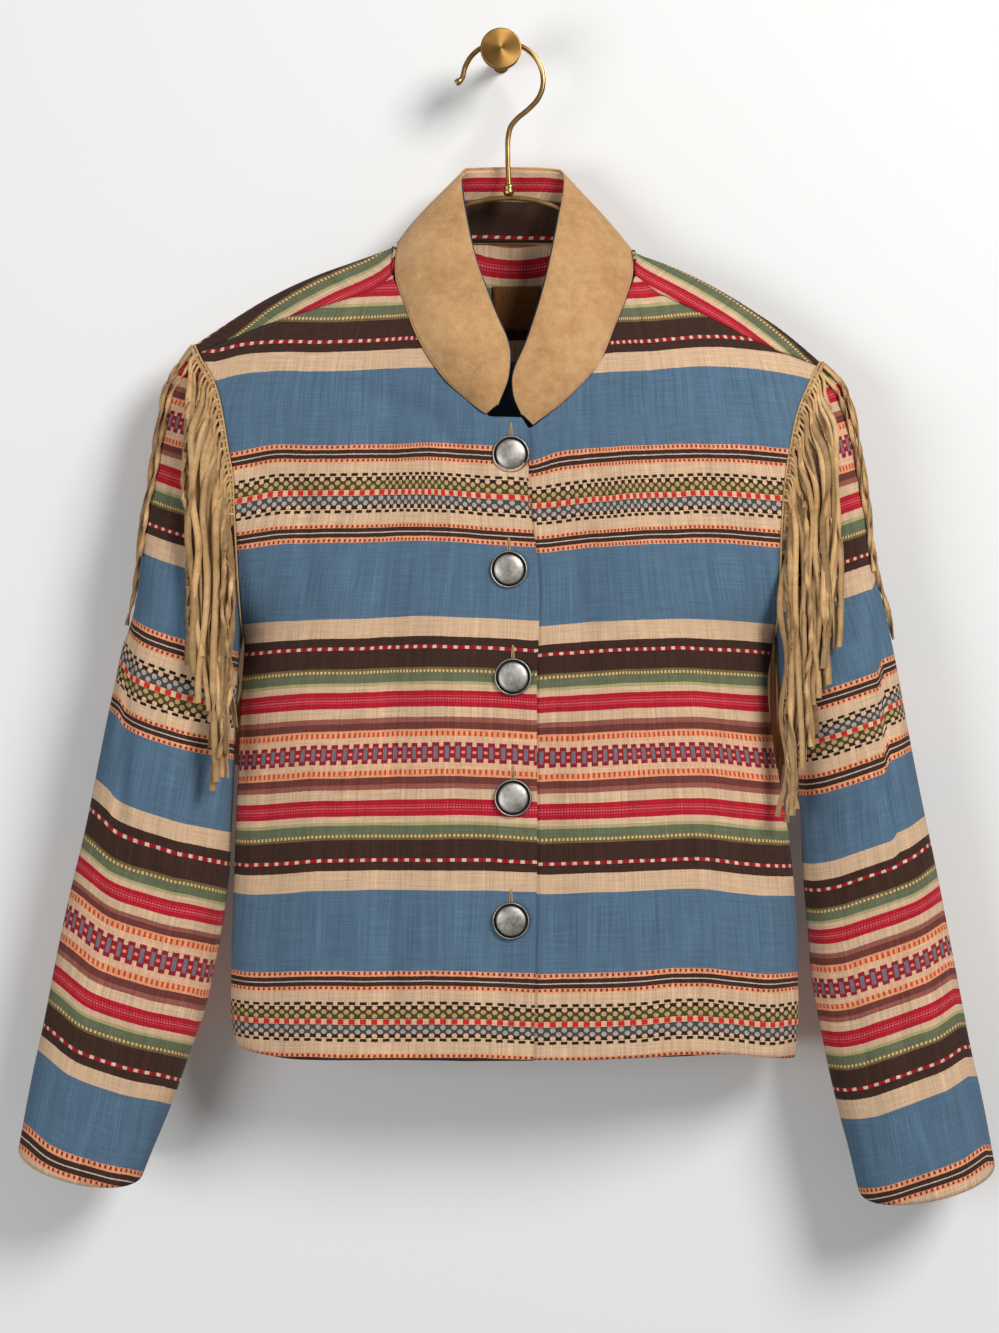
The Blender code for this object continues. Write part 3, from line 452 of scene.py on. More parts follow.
def fill(x, z):
    """Share of the body's full depth at points: 1 in the middle and 0 at the edge."""
    out = edge(x, z) + FLARE * ramp(0, FLARE_RISE, z - UNDERARM_Z)
    share = np.clip(np.abs(x) / out, 0, 1)
    return (1 - share**ROUND) ** (1 / ROUND)


def stand(below, full):
    """How far the cloth stands off the ridge's plane at distances below the ridge."""
    below = np.maximum(below, 0)
    over = np.sqrt(np.maximum(TURN**2 - (TURN - np.minimum(below, TURN)) ** 2, 0))
    return over + (full - TURN) * (1 - np.exp(-np.maximum(below - TURN, 0) / EASE))


def middle(below):
    return RIDGE_Y + (MIDDLE_Y - RIDGE_Y) * ramp(0, 60, below)


def folds(table, x, z):
    """Height of a table's folds at points across and up."""
    total = np.zeros(np.broadcast(x, z).shape)
    for x0, z0, x1, z1, half, height in table:
        run_x, run_z = x1 - x0, z1 - z0
        share = ((x - x0) * run_x + (z - z0) * run_z) / (run_x**2 + run_z**2)
        near = np.clip(share, 0, 1)
        away = np.hypot(x - x0 - near * run_x, z - z0 - near * run_z)
        total = total + height * np.exp(-((away / half) ** 2)) * ramp(-0.05, 0.35, share)
    return total


def front_y(x, z):
    below = ridge(x) - z
    depth = stand(below, FRONT_DEPTH) + folds(FRONT_FOLDS, x, z) * ramp(10, 60, below)
    return middle(below) - depth * fill(x, z)


def back_y(x, z):
    below = ridge(x) - z
    filled = stand(below, BACK_DEPTH) / BACK_DEPTH
    at_neck = np.sqrt(np.clip(1 - (np.abs(x) / NECK_HALF) ** 4, 0, 1))
    lower = np.exp(-((x / NECK_HALF) ** 4))
    open_neck = at_neck + (lower - at_neck) * ramp(0, 70, below)
    share = filled + (1 - filled) * open_neck
    creased = folds(BACK_FOLDS, x, z) * ramp(10, 80, below)
    return middle(below) + (BACK_DEPTH * share + creased) * fill(x, z)


def over_ridge(x, travel):
    """Points of the cloth at distances from the ridge, down the front or down the back."""
    far = np.abs(travel)
    quarter = TURN * math.pi / 2
    below = np.where(far < quarter, TURN * (1 - np.cos(far / TURN)), TURN + far - quarter)
    z = ridge(x) - below
    y = np.where(travel > 0, front_y(x, z), back_y(x, z))
    return np.stack([x, y, z], -1)


def spread(share):
    """Shares across a panel, closer together towards its side seam."""
    return 0.3 * share + 0.7 * np.sin(share * math.pi / 2)


def front_grid(top, sign, free_edge, columns, rows, behind):
    """A front's points. free_edge gives it the placket, and behind sets it back there."""
    across = np.append(np.linspace(0, 1, columns - 1), LAST_COLUMN)
    across = np.sort(across)[:, None]
    up = np.linspace(0, 1, rows)[None, :]
    table = np.asarray(top, float)
    top_x, top_z = (np.interp(across, table[:, 0], table[:, n]) for n in (1, 2))
    low = through(PLACKET, 754.0) if free_edge else table[0, 1]
    foot = edge(sign, -750.0) * sign
    hem_x = low + (foot - low) * spread(across)
    hem_z = through(HEM, hem_x)
    z = hem_z + (top_z - hem_z) * up
    hem_share, top_share = hem_x / edge(sign, hem_z), top_x / edge(sign, top_z)
    hem_share, top_share = hem_share / abs(hem_share[-1]), top_share / abs(top_share[-1])
    share = hem_share + (top_share - hem_share) * up
    start = share[:1]
    x = share * edge(sign, z)
    wanted = through(PLACKET, -z[:1]) if free_edge else table[0, 1] + 0 * z[:1]
    x = x + (1 - across) ** 2 * (wanted - start * edge(sign, z[:1]))
    y = np.minimum(front_y(x, z), MIDDLE_Y - SIDE_GAP / 2)
    y = y + behind * (1 - ramp(16, 46, x))
    return np.stack([x, y, z], -1)


def top_of_back():
    """Rows of (share across, x, distance over the ridge) along the back's upper edge."""
    rows = list(NECK_BACK)
    for sign, table in ((-1, TOP_LEFT), (1, TOP_RIGHT)):
        for place, x, z in table:
            if place >= SHOULDER_START:
                out = (place - SHOULDER_START) / (1 - SHOULDER_START) - 1
                below = ridge(x) - z - EDGE_GAP
                travel = below - TURN + TURN * math.pi / 2
                rows.append((0.5 + sign * (0.5 + SHOULDER_COLUMNS * out), x, travel))
    return np.array(sorted(rows))


def back_grid(columns, rows, wrap_rows):
    """The back's points, and how far each is over the ridge to the front."""
    top = top_of_back()
    corners = top[np.abs(np.abs(top[:, 1]) - NECK_HALF) < 5, 0]
    place = np.linspace(0, 1, columns)
    keep = np.abs(place[:, None] - corners).min(1) > 0.3 / columns
    ends = (1 - LAST_COLUMN) / 2
    across = np.concatenate([place[keep], corners, (ends, 1 - ends)])
    across = np.sort(across)[:, None]
    top_x, top_travel = (np.interp(across, top[:, 0], top[:, n]) for n in (1, 2))
    side = np.where(across < 0.5, -1.0, 1.0)
    hem_x = side * spread(np.abs(2 * across - 1)) * edge(side, -750.0)
    hem_z = through(HEM, hem_x)
    low = np.linspace(0, 1, rows)[None, :]
    high = np.linspace(0, 1, wrap_rows + 1)[None, 1:]
    bend = TURN * math.pi / 2 - TURN
    start = -16.0
    hem_share = hem_x / edge(side, hem_z)
    top_share = top_x / edge(side, ridge(top_x) + start + bend)
    for share in (hem_share, top_share):
        share /= np.where(side < 0, abs(share[0]), abs(share[-1]))
    x = hem_x + 0 * low
    for _ in range(4):
        first = hem_z - ridge(x) - bend
        travel = first + (start - first) * low
        x = (hem_share + (top_share - hem_share) * low) * edge(side, ridge(x) + travel + bend)
    over = start + (top_travel - start) * high
    wrapped = x[:, -1:] + (top_x - x[:, -1:]) * high
    for _ in range(4):
        found = over_ridge(wrapped, over)
        off = edge(side, found[..., 2]) - np.abs(wrapped)
        off = np.where(side < 0, off[:1], off[-1:])
        wrapped = wrapped + side * off * np.abs(2 * across - 1) ** 8
    body = over_ridge(x, travel)
    body[..., 1] = np.maximum(body[..., 1], MIDDLE_Y + SIDE_GAP / 2)
    points = np.concatenate([body, over_ridge(wrapped, over)], 1)
    return points, np.concatenate([travel + 0 * x, over + 0 * wrapped], 1)


def armhole(sign, share):
    """Places (x, z) along an armhole from the shoulder down, and the way out of the body."""
    table = EDGE_LEFT if sign < 0 else EDGE_RIGHT
    rows = [(sign * out, -down) for down, out in table if down <= -UNDERARM_Z]
    place = along(rows, share)
    step = along(rows, np.clip(share + 0.01, 0, 1)) - along(rows, np.clip(share - 0.01, 0, 1))
    step = step / np.linalg.norm(step, axis=-1, keepdims=True)
    return place, sign * np.stack([-step[..., 1], step[..., 0]], -1)


def sleeve_points(sign, length, turn, creased=False):
    """Points of a sleeve at shares of its length and turns round it, 0 at the shoulder."""
    length, turn = np.broadcast_arrays(np.asarray(length, float), np.asarray(turn, float))
    outer, inner = (OUTER_LEFT, INNER_LEFT) if sign < 0 else (OUTER_RIGHT, INNER_RIGHT)
    rings = np.asarray(SLEEVE_RINGS, float)
    start = along(outer, np.interp(length, rings[:, 0], rings[:, 1]))
    end = along(inner, np.interp(length, rings[:, 0], rings[:, 2]))
    share = (1 - np.cos(turn)) / 2
    front = turn >= 0
    hole, outward = armhole(sign, share)
    chord = start + (end - start) * share[..., None]
    seam = along(outer, 0.0) + (along(inner, 0.0) - along(outer, 0.0)) * share[..., None]
    join = 1 - ramp(0, SLEEVE_JOIN, length)
    place = chord + join[..., None] * (hole + outward * SEAM_GAP - seam)
    round_it = np.abs(np.sin(turn)) ** 0.85
    place[..., 1] -= np.where(front, CUFF_BOW, CUFF_BACK_BOW) * round_it * length**2
    depth = through(SLEEVE_DEPTHS, length)
    own = SLEEVE_Y + np.where(front, -depth[..., 0], depth[..., 1]) * round_it
    x, z = hole[..., 0], hole[..., 1]
    held = np.where(front, front_y(x, z), back_y(x, z))
    y = own + (held - own) * join
    if creased:
        table = LEFT_SLEEVE_FOLDS if sign < 0 else RIGHT_SLEEVE_FOLDS
        height = folds(table, place[..., 0], place[..., 1])
        height = height * np.abs(np.sin(turn)) ** 0.5 * ramp(0.03, 0.12, length)
        y = y + np.where(front, -height, height * 0.8)
    return np.stack([place[..., 0], y, place[..., 1]], -1)


def collar_grid(around, across, inset=0.0):
    """The collar's points, rolled between its foot and its free edge."""
    rows = np.asarray(COLLAR, float)
    share = np.linspace(0, 1, len(rows))
    at = np.linspace(0, 1, around)[:, None]
    table = through(np.column_stack([share, rows]), at[:, 0])
    base, free = table[:, None, (0, 2, 1)], table[:, None, (3, 5, 4)]
    width = np.linspace(0, 1, across)[None, :, None]
    reach = np.linalg.norm(free - base, axis=-1, keepdims=True)
    width = inset / reach + width * (1 - 2 * inset / reach)
    points = base + (free - base) * width
    side = np.gradient(points, axis=0)
    out = np.cross(free - base, side)
    out /= np.linalg.norm(out, axis=-1, keepdims=True)
    roll = through(COLLAR_ROLL, at)[..., None] * np.minimum(1, reach / 60)
    return points + out * roll * through(ROLL_FORM, width)


def normals(grid, flip=False):
    found = np.cross(np.gradient(grid, axis=0), np.gradient(grid, axis=1))
    found /= np.maximum(np.linalg.norm(found, axis=-1, keepdims=True), 1e-9)
    return -found if flip else found


# Places in the weave


def seen(points):
    """Where the camera sees points, in the picture."""
    reach = VIEW_DISTANCE + points[..., 1]
    across = PICTURE[0] / 2 + (points[..., 0] + CENTRE_X - VIEW_X) * FOCAL / reach
    return across, PICTURE[1] / 2 - (points[..., 2] - VIEW_Z) * FOCAL / reach


def row_at(rows, height):
    """Place in the weave at a height in the picture, going on evenly past the table's ends."""
    rows = np.asarray(rows, float)
    found = np.interp(height, rows[:, 0], rows[:, 1])
    past = np.maximum(height - rows[-1, 0], 0) - np.maximum(rows[0, 0] - height, 0)
    return (found + past) * STEP


def droop_at(table, places, across, height):
    """A droop table's value at points of the picture, smooth across and level by level down."""
    table = np.asarray(table, float)
    fine = np.linspace(places[0], places[-1], 300)
    rows = [through(np.column_stack([places, row[1:]]), fine) for row in table]
    step = fine[1] - fine[0]
    place = np.clip((across - fine[0]) / step, 0, len(fine) - 1.001)
    level = np.interp(height, table[:, 0], np.arange(len(table)))
    i, j = np.minimum(level.astype(int), len(table) - 2), place.astype(int)
    s, t = level - i, place - j
    rows = np.array(rows)
    upper = rows[i, j] * (1 - t) + rows[i, j + 1] * t
    lower = rows[i + 1, j] * (1 - t) + rows[i + 1, j + 1] * t
    return upper * (1 - s) + lower * s


def run_across(grid):
    """Distance along the cloth from its first column."""
    steps = np.linalg.norm(np.diff(grid, axis=0), axis=-1)
    return np.concatenate([np.zeros((1, grid.shape[1])), np.cumsum(steps, 0)])


def droop(side, across, height):
    """How far the rows droop on one side of the body, in the picture."""
    if side < 0:
        return droop_at(LEFT_DROOP, LEFT_ACROSS, across, height)
    return droop_at(RIGHT_DROOP, RIGHT_ACROSS, across, height)


def body_weave(grid, side):
    """A front's places in the weave."""
    across, height = seen(grid)
    down = droop(side, across, height)
    return np.stack([run_across(grid) * -side, row_at(BODY_ROWS, height - down)], -1)


def back_weave(grid, travel):
    """The back's: level with the front's low down, and its own band over the shoulders."""
    x, z = grid[..., 0], grid[..., 2]
    level = np.stack([x, np.minimum(front_y(x, z), MIDDLE_Y), z], -1)
    across, height = seen(level)
    left, right = (droop(side, across, height) for side in (-1, 1))
    down = np.where(x < 0, left, right) * ramp(90, 200, np.abs(x))
    place = row_at(BODY_ROWS, height - down)
    band = through(SHOULDER_BAND, x)
    apex = np.stack([x, RIDGE_Y + 0 * x, ridge(x)], -1)
    held = band - REPEAT - row_at(BODY_ROWS, seen(apex)[1])
    fade = np.clip((z - BACK_FROM) / (ridge(x) - BACK_FROM), 0, 1)
    place = place + held * fade
    place = np.where(travel > 0, band - REPEAT - travel, place)
    along_row = run_across(grid)
    return np.stack([along_row - along_row[len(along_row) // 2], place], -1)


def sleeve_weave(grid, sign):
    """A sleeve's: its rows slope away from its middle line as the picture shows."""
    across, height = seen(grid)
    line = np.asarray(LEFT_MIDDLE if sign < 0 else RIGHT_MIDDLE, float)
    slope = np.asarray(LEFT_SLOPE if sign < 0 else RIGHT_SLOPE, float)
    rows = LEFT_ROWS if sign < 0 else RIGHT_ROWS
    off = across - np.interp(height, line[:, 0], line[:, 1])
    down = through(slope, off)
    if sign > 0:
        down = down - 10 * ramp(25, 31, off) * (1 - ramp(780, 900, height))
    else:
        down = down - 5 * (1 - ramp(-56, -48, off)) * (1 - ramp(740, 880, height))
    place = row_at(rows, height - down)
    run = run_across(grid)
    return np.stack([run - run[len(run) // 2], -place], -1)


# Materials


def colour(rgb, gain=1.0):
    """A linear colour from one in the usual 0 to 255."""
    values = [value / 255 for value in rgb]
    return (*[(v / 12.92 if v < 0.04045 else ((v + 0.055) / 1.055) ** 2.4) * gain
              for v in values], 1)


class Finish:
    """A material under way: nodes are added and joined with little text."""

    def __init__(self, name, roughness, metallic=0.0, sheen=0.0):
        self.made = bpy.data.materials.new(name)
        self.made.use_nodes = True
        self.tree = self.made.node_tree
        self.shader = self.tree.nodes["Principled BSDF"]
        self.shader.inputs["Roughness"].default_value = roughness
        self.shader.inputs["Metallic"].default_value = metallic
        self.shader.inputs["Sheen Weight"].default_value = sheen
        self.shader.inputs["Sheen Roughness"].default_value = 0.5
        self.shader.inputs["Specular IOR Level"].default_value = 0.12 if sheen else 0.5

    def put(self, socket, value):
        if isinstance(value, bpy.types.NodeSocket):
            self.tree.links.new(value, socket)
        else:
            socket.default_value = value

    def add(self, kind, *values, **settings):
        node = self.tree.nodes.new("ShaderNode" + kind)
        for key, value in settings.items():
            setattr(node, key, value)
        for socket, value in zip(node.inputs, values):
            if value is not None:
                self.put(socket, value)
        return node

    def math(self, operation, *values):
        return self.add("Math", *values, operation=operation).outputs[0]

    def mix(self, share, first, second, how="MIX"):
        return self.add("MixRGB", share, first, second, blend_type=how).outputs[0]

    def phase(self, value, period, shift=0.0):
        scaled = self.math("MULTIPLY_ADD", value, 1 / period, shift)
        return self.math("FRACT", scaled)

    def band(self, value, low, high):
        return self.math("COMPARE", value, (low + high) / 2, (high - low) / 2)

    def both(self, *values):
        found = values[0]
        for value in values[1:]:
            found = self.math("MULTIPLY", found, value)
        return found

    def noise(self, place, scale, detail=2.0, roughness=0.5):
        node = self.add("TexNoise")
        self.put(node.inputs["Vector"], place)
        node.inputs["Scale"].default_value = scale
        node.inputs["Detail"].default_value = detail
        node.inputs["Roughness"].default_value = roughness
        return node.outputs["Fac"]

    def streaks(self, u, v, along_row, across_rows, place, detail):
        """Noise that is stretched along the cloth or across it."""
        scaled = self.math("MULTIPLY", u, along_row), self.math("MULTIPLY", v, across_rows)
        return self.noise(self.combine(*scaled, place), 1.0, detail)

    def range(self, value, low, high, to_low, to_high):
        return self.add("MapRange", value, low, high, to_low, to_high).outputs[0]

    def ramp(self, value, stops, constant=False):
        node = self.add("ValToRGB", value)
        stages = node.color_ramp
        stages.interpolation = "CONSTANT" if constant else "LINEAR"
        while len(stages.elements) < len(stops):
            stages.elements.new(0.5)
        for element, (place, shade) in zip(stages.elements, stops):
            element.position = place
            element.color = shade
        return node.outputs[0]

    def toned(self, shade, tone):
        return self.mix(1.0, shade, self.combine(tone, tone, tone), "MULTIPLY")

    def combine(self, *values):
        return self.add("CombineXYZ", *values).outputs[0]

    def bump(self, height, strength, distance):
        node = self.add("Bump")
        node.inputs["Strength"].default_value = strength
        node.inputs["Distance"].default_value = distance
        self.put(node.inputs["Height"], height)
        self.put(self.shader.inputs["Normal"], node.outputs[0])

    def paint(self, shade):
        self.put(self.shader.inputs["Base Color"], shade)
        return self.made


def striped_cloth():
    """The blanket cloth: stripes and marks over the weave's places, with its threads."""
    f = Finish("striped_cloth", 0.92, sheen=0.05)
    uv = f.add("UVMap", uv_map="weave").outputs[0]
    u, v = (f.math("MULTIPLY", part, 1 / MM) for part in f.add("SeparateXYZ", uv).outputs[:2])
    wobble, slow = f.streaks(u, v, *WOBBLE), f.streaks(u, v, *SLOW)
    v = f.math("ADD", v, f.range(wobble, 0.0, 1.0, -0.45, 0.45))
    v = f.math("ADD", v, f.range(slow, 0.0, 1.0, -1.2, 1.2))
    u = f.math("ADD", u, f.range(slow, 0.0, 1.0, -2.0, 2.0))
    half = REPEAT / 2
    row = f.math("PINGPONG", v, half)
    stops = [(place / half, colour(rgb)) for place, rgb in STRIPES]
    shade = f.ramp(f.math("DIVIDE", row, half), stops, True)
    for low, high, period, shift, start, end, strength, rgb in MARKS:
        mark = f.both(f.band(row, low, high), f.band(f.phase(u, period, shift), start, end))
        shade = f.mix(f.math("MULTIPLY", mark, strength), shade, colour(rgb))

    stitch = f.math("PINGPONG", u, MOTIF / 2)

    def marked(shade, place, marks):
        for low, high, start, end, rgb in marks:
            mark = f.both(f.band(place, low, high), f.band(stitch, start, end))
            shade = f.mix(mark, shade, colour(rgb))
        return shade

    shade = marked(shade, row, CENTRE_MARKS)

    # Checked band: its ground, and circles in staggered rows, green above and blue below
    from_check = f.math("SUBTRACT", f.math("WRAP", v, REPEAT, 0.0), half)
    away = f.math("ABSOLUTE", from_check)
    lower = f.math("GREATER_THAN", from_check, 0.0)
    staggered = f.math("SUBTRACT", MOTIF / 2, stitch)
    ground = f.mix(lower, colour(GREEN_LINE), colour(BLUE_LINE))
    fill = f.mix(lower, colour(GREENISH), colour(BLUISH))
    fill = f.mix(f.band(away, 9.0, 12.6), fill, colour(PEACH))
    ground = f.mix(f.band(away, 9.2, 12.8), ground, colour(BLACK))
    shade = f.mix(f.band(away, 0.0, 12.0), shade, ground)
    for place, side in zip(CIRCLE_ROWS, (stitch, staggered, stitch)):
        rise = f.math("SUBTRACT", away, place)
        squashed = f.math("MULTIPLY", f.both(rise, rise), CIRCLE_SQUASH)
        far = f.math("ADD", f.both(side, side), squashed)
        shade = f.mix(f.math("LESS_THAN", far, CIRCLE**2), shade, fill)
    shade = marked(shade, away, CHECK_MARKS)

    # Slubs, and the streaks that they leave up and down the cloth
    fine, wide, cross = (f.streaks(u, v, *form) for form in (FINE, WIDE, CROSS))
    grain = f.noise(f.combine(u, v, 0.0), GRAIN_SCALE)
    tone = f.range(fine, 0.3, 0.7, 0.8, 1.16)
    for streak, low, high in ((wide, 0.91, 1.08), (cross, 0.84, 1.12), (grain, 0.8, 1.14)):
        tone = f.math("MULTIPLY", tone, f.range(streak, 0.3, 0.7, low, high))
    warp, weft = (
        f.math("SINE", f.math("MULTIPLY", place, 2 * math.pi / THREAD_WIDTH)) for place in (u, v)
    )
    height = f.math("MULTIPLY_ADD", f.math("MULTIPLY", warp, weft), 0.25, fine)
    height = f.math("ADD", height, f.math("MULTIPLY", cross, 0.6))
    f.bump(height, 0.8, 0.0005)
    return f.paint(f.toned(shade, tone))


def suede(name, base, deep, light, strand=False):
    f = Finish(name, 0.95, sheen=0.25)
    place = f.add("TexCoord").outputs["Object"]
    broad = f.noise(place, 22.0, 3.0, 0.6)
    nap = f.noise(place, 160.0, 4.0, 0.65)
    grain = f.noise(place, 900.0, 2.0, 0.6)
    shade = f.ramp(broad, [(0.3, colour(deep)), (0.52, colour(base)), (0.72, colour(light))])
    shade = f.mix(0.5, shade, f.ramp(nap, [(0.3, colour(deep)), (0.6, colour(base)),
                                          (0.8, colour(light))]))
    tone = f.range(grain, 0.25, 0.75, 0.88, 1.1)
    if strand:
        # The strands' tone attribute holds their own tones and the painted shade on their sides
        # and backs.
        own = f.add("Attribute", attribute_name="tone").outputs["Fac"]
        tone = f.math("MULTIPLY", tone, f.range(own, 0.0, 1.0, 0.34, 1.14))
    f.bump(f.math("ADD", nap, f.math("MULTIPLY", grain, 0.5)), 0.35, 0.0006)
    return f.paint(f.toned(shade, tone))


def metal(name, base, deep, roughness, brushed=True, turned_face=False):
    f = Finish(name, roughness, metallic=1.0)
    if turned_face:
        f.shader.inputs["Anisotropic"].default_value = 0.75
        tangent = f.add("Tangent", direction_type="RADIAL", axis="Y").outputs[0]
        f.put(f.shader.inputs["Tangent"], tangent)
    place = f.add("TexCoord").outputs["Object"]
    stretched = f.add("Mapping", place)
    stretched.inputs["Scale"].default_value = (1.0, 1.0, 9.0) if brushed else (1.0, 1.0, 1.0)
    fine = f.noise(stretched.outputs[0], 420.0, 3.0, 0.6)
    broad = f.noise(place, 70.0, 4.0, 0.65)
    shade = f.ramp(broad, [(0.32, colour(deep)), (0.6, colour(base))])
    shade = f.mix(0.25, shade, f.ramp(fine, [(0.35, colour(deep)), (0.65, colour(base))]))
    f.bump(fine, 0.12, 0.0002)
    return f.paint(shade)


def plain(name, rgb, roughness=0.9, low=0.85, scale=500.0):
    f = Finish(name, roughness, sheen=0.1)
    place = f.add("TexCoord").outputs["Object"]
    grain = f.noise(place, scale, 3.0)
    tone = f.range(grain, 0.3, 0.7, low, 1.1)
    f.bump(grain, 0.3, 0.0004)
    return f.paint(f.toned(colour(rgb), tone))


# Pieces


def placed(name, data):
    """A new object of the part, parented to the root body."""
    piece = bpy.data.objects.new(name, data)
    bpy.context.scene.collection.objects.link(piece)
    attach(piece, "root")
    return piece


def mesh_piece(name, points, faces, material, uv=None, tone=None):
    """A piece of points across from the jacket's middle. uv holds one place to each corner."""
    mesh = bpy.data.meshes.new(name)
    shift = np.array([CENTRE_X, 0, 0])
    mesh.from_pydata([tuple(p) for p in (np.asarray(points) + shift) * MM], [], faces)
    mesh.materials.append(material)
    if uv is not None:
        layer = mesh.uv_layers.new(name="weave")
        layer.data.foreach_set("uv", (np.asarray(uv, np.float32) * MM).ravel())
    if tone is not None:
        layer = mesh.attributes.new("tone", "FLOAT", "POINT")
        layer.data.foreach_set("value", np.asarray(tone, np.float32))
    mesh.shade_smooth()
    return placed(name, mesh)


def cloth(name, grid, thickness, material, flip=False, weave=None, offset=-1.0):
    """A sheet with its outer face on a grid and its thickness inside that."""
    columns, rows = grid.shape[:2]
    i, j = np.meshgrid(np.arange(columns - 1), np.arange(rows - 1), indexing="ij")
    corners = [(i, j), (i + 1, j), (i + 1, j + 1), (i, j + 1)]
    if flip:
        corners.reverse()
    faces = np.stack([a * rows + b for a, b in corners], -1).reshape(-1, 4)
    uv = None
    if weave is not None:
        uv = np.stack([weave[a, b] for a, b in corners], 2).reshape(-1, 2)
    piece = mesh_piece(name, grid.reshape(-1, 3), faces.tolist(), material, uv)
    wall = piece.modifiers.new("Wall", "SOLIDIFY")
    wall.thickness = thickness * MM
    wall.offset = offset
    return piece


def tube(name, path, radius, material, sides=8, closed=False, radii=None):
    """A round cord of mesh along a path."""
    curve = bpy.data.curves.new(name, "CURVE")
    curve.dimensions = "3D"
    curve.bevel_depth = radius * MM
    curve.bevel_resolution = max(sides // 4, 1)
    curve.use_fill_caps = True
    spline = curve.splines.new("POLY")
    spline.points.add(len(path) - 1)
    spline.use_cyclic_u = closed
    for point, place in zip(spline.points, np.asarray(path) + [CENTRE_X, 0, 0]):
        point.co = (*(place * MM), 1)
    if radii is not None:
        spline.points.foreach_set("radius", radii)
    spline.use_smooth = True
    curve.materials.append(material)
    return placed(name, curve)


STRIPED = striped_cloth()
COLLAR_SUEDE = suede("collar_suede", (188, 147, 102), (158, 116, 74), (206, 167, 120))
FRINGE_SUEDE = suede("fringe_suede", (214, 172, 120), (166, 125, 78), (234, 197, 146), True)
BRASS = metal("brass", (204, 164, 106), (156, 116, 64), 0.28)
PEWTER = metal("pewter", (206, 201, 194), (118, 113, 108), 0.5, brushed=False)
# Near-black: the buttons' groove, and painted shadow on their rims' outer walls and in the
# buttonholes' slits
GROOVE_AND_SHADE = plain("groove_and_shade", (26, 25, 26), 0.6)
LABEL = plain("label", (124, 80, 40), 0.7, 0.6, 700.0)
EDGING = plain("edging", (48, 58, 72))
THREAD = plain("thread", (188, 150, 104))
LABEL_EDGE = plain("label_edge", (204, 150, 80))
KNOB = metal("knob", (178, 136, 76), (154, 116, 62), 0.4, turned_face=True)

# Body
left = front_grid(TOP_LEFT, -1, True, *FRONT_GRID, 0.0)
front_left = cloth("jacket_front_left", left, CLOTH, STRIPED, True,
                   body_weave(left, -1))
right = front_grid(TOP_RIGHT, 1, False, *FRONT_GRID, UNDERLAP)
front_right = cloth("jacket_front_right", right, CLOTH, STRIPED, False,
                    body_weave(right, 1))
behind, travel = back_grid(*BACK_GRID, BACK_WRAP)
back = cloth("jacket_back", behind, CLOTH, STRIPED, True,
             back_weave(behind, travel))
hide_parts("front_left")
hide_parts("front_right")
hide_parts("back")

# Sleeves
turns = np.linspace(-math.pi, math.pi, SLEEVE_GRID[0])[:, None]
lengths = np.linspace(0, 1, SLEEVE_GRID[1])[None, :]
for name, sign in (("sleeve_left", -1), ("sleeve_right", 1)):
    grid = sleeve_points(sign, lengths, turns, creased=True)
    sleeve = cloth("jacket_" + name, grid, CLOTH, STRIPED, sign < 0,
                   sleeve_weave(grid, sign))
    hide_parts(name)

# Collar
outer = collar_grid(*COLLAR_GRID)
collar = cloth("jacket_collar", outer, SUEDE, COLLAR_SUEDE, True)
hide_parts("collar_suede")
inner = collar_grid(*COLLAR_GRID, inset=FACING_INSET)
facing_row = np.interp(np.linspace(0, 1, COLLAR_GRID[1]), *np.transpose(FACING_ROWS))
facing_row = facing_row + 0 * inner[..., 0]
facing_weave = np.stack([run_across(inner), facing_row], -1)
inner = inner - normals(inner, True) * (SUEDE + LAY_GAP)
facing = cloth("jacket_collar_facing", inner, LINING, STRIPED, True,
               facing_weave)
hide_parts("collar_lining")

x = np.linspace(*PATCH_X, PATCH_GRID)[:, None]
z = np.linspace(*PATCH_Z, PATCH_GRID)[None, :]
x, z = np.broadcast_arrays(x, z)
patch = np.stack([x, back_y(x, z) - CLOTH - 1.6 * LAY_GAP, z], -1)
label = cloth("jacket_label", patch, PATCH, LABEL, True)
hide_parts("neck_label")

# Fringe


def hang_plane(sign, front, reach):
    """Rows of (z downwards, y) of the plane in which strands hang clear of the cloth."""
    z = np.linspace(-225, -650, 86)
    x = sign * np.linspace(0.9, 1, 12)[:, None] * edge(sign, z)
    body = front_y(x, z) if front else back_y(x, z)
    cloud = [np.stack([x, body, z + 0 * x], -1).reshape(-1, 3)]
    turn = np.linspace(0, math.pi, 60)[:, None] * (1 if front else -1)
    cloud.append(sleeve_points(sign, np.linspace(0, 0.7, 90), turn, True).reshape(-1, 3))
    cloud = np.concatenate(cloud)
    cloud = cloud[(cloud[:, 0] * sign > reach[0]) & (cloud[:, 0] * sign < reach[1])]
    rows, far = [], None
    for down in -z:
        near = cloud[np.abs(cloud[:, 2] + down) < 8, 1]
        if near.size:
            here = near.min() if front else near.max()
            far = here if far is None else (min(far, here) if front else max(far, here))
        rows.append((down, MIDDLE_Y if far is None else far))
    return rows


def strip(points, look, width, thick, turn):
    """Rings of a strip's six corners along points, turned about its run."""
    run = np.gradient(points, axis=0)
    run /= np.linalg.norm(run, axis=1, keepdims=True)
    out = look - run * (look * run).sum(1, keepdims=True)
    out /= np.linalg.norm(out, axis=1, keepdims=True)
    side = np.cross(run, out)
    face = out * np.cos(turn)[:, None] + side * np.sin(turn)[:, None]
    side = np.cross(run, face)
    half, thick = width[:, None] / 2, thick[:, None]
    cup = 0.13 * width[:, None]
    ring = [points - side * half, points + face * cup, points + side * half,
            points + side * half - face * thick, points + face * (cup - thick),
            points - side * half - face * thick]
    return np.stack(ring, 1)


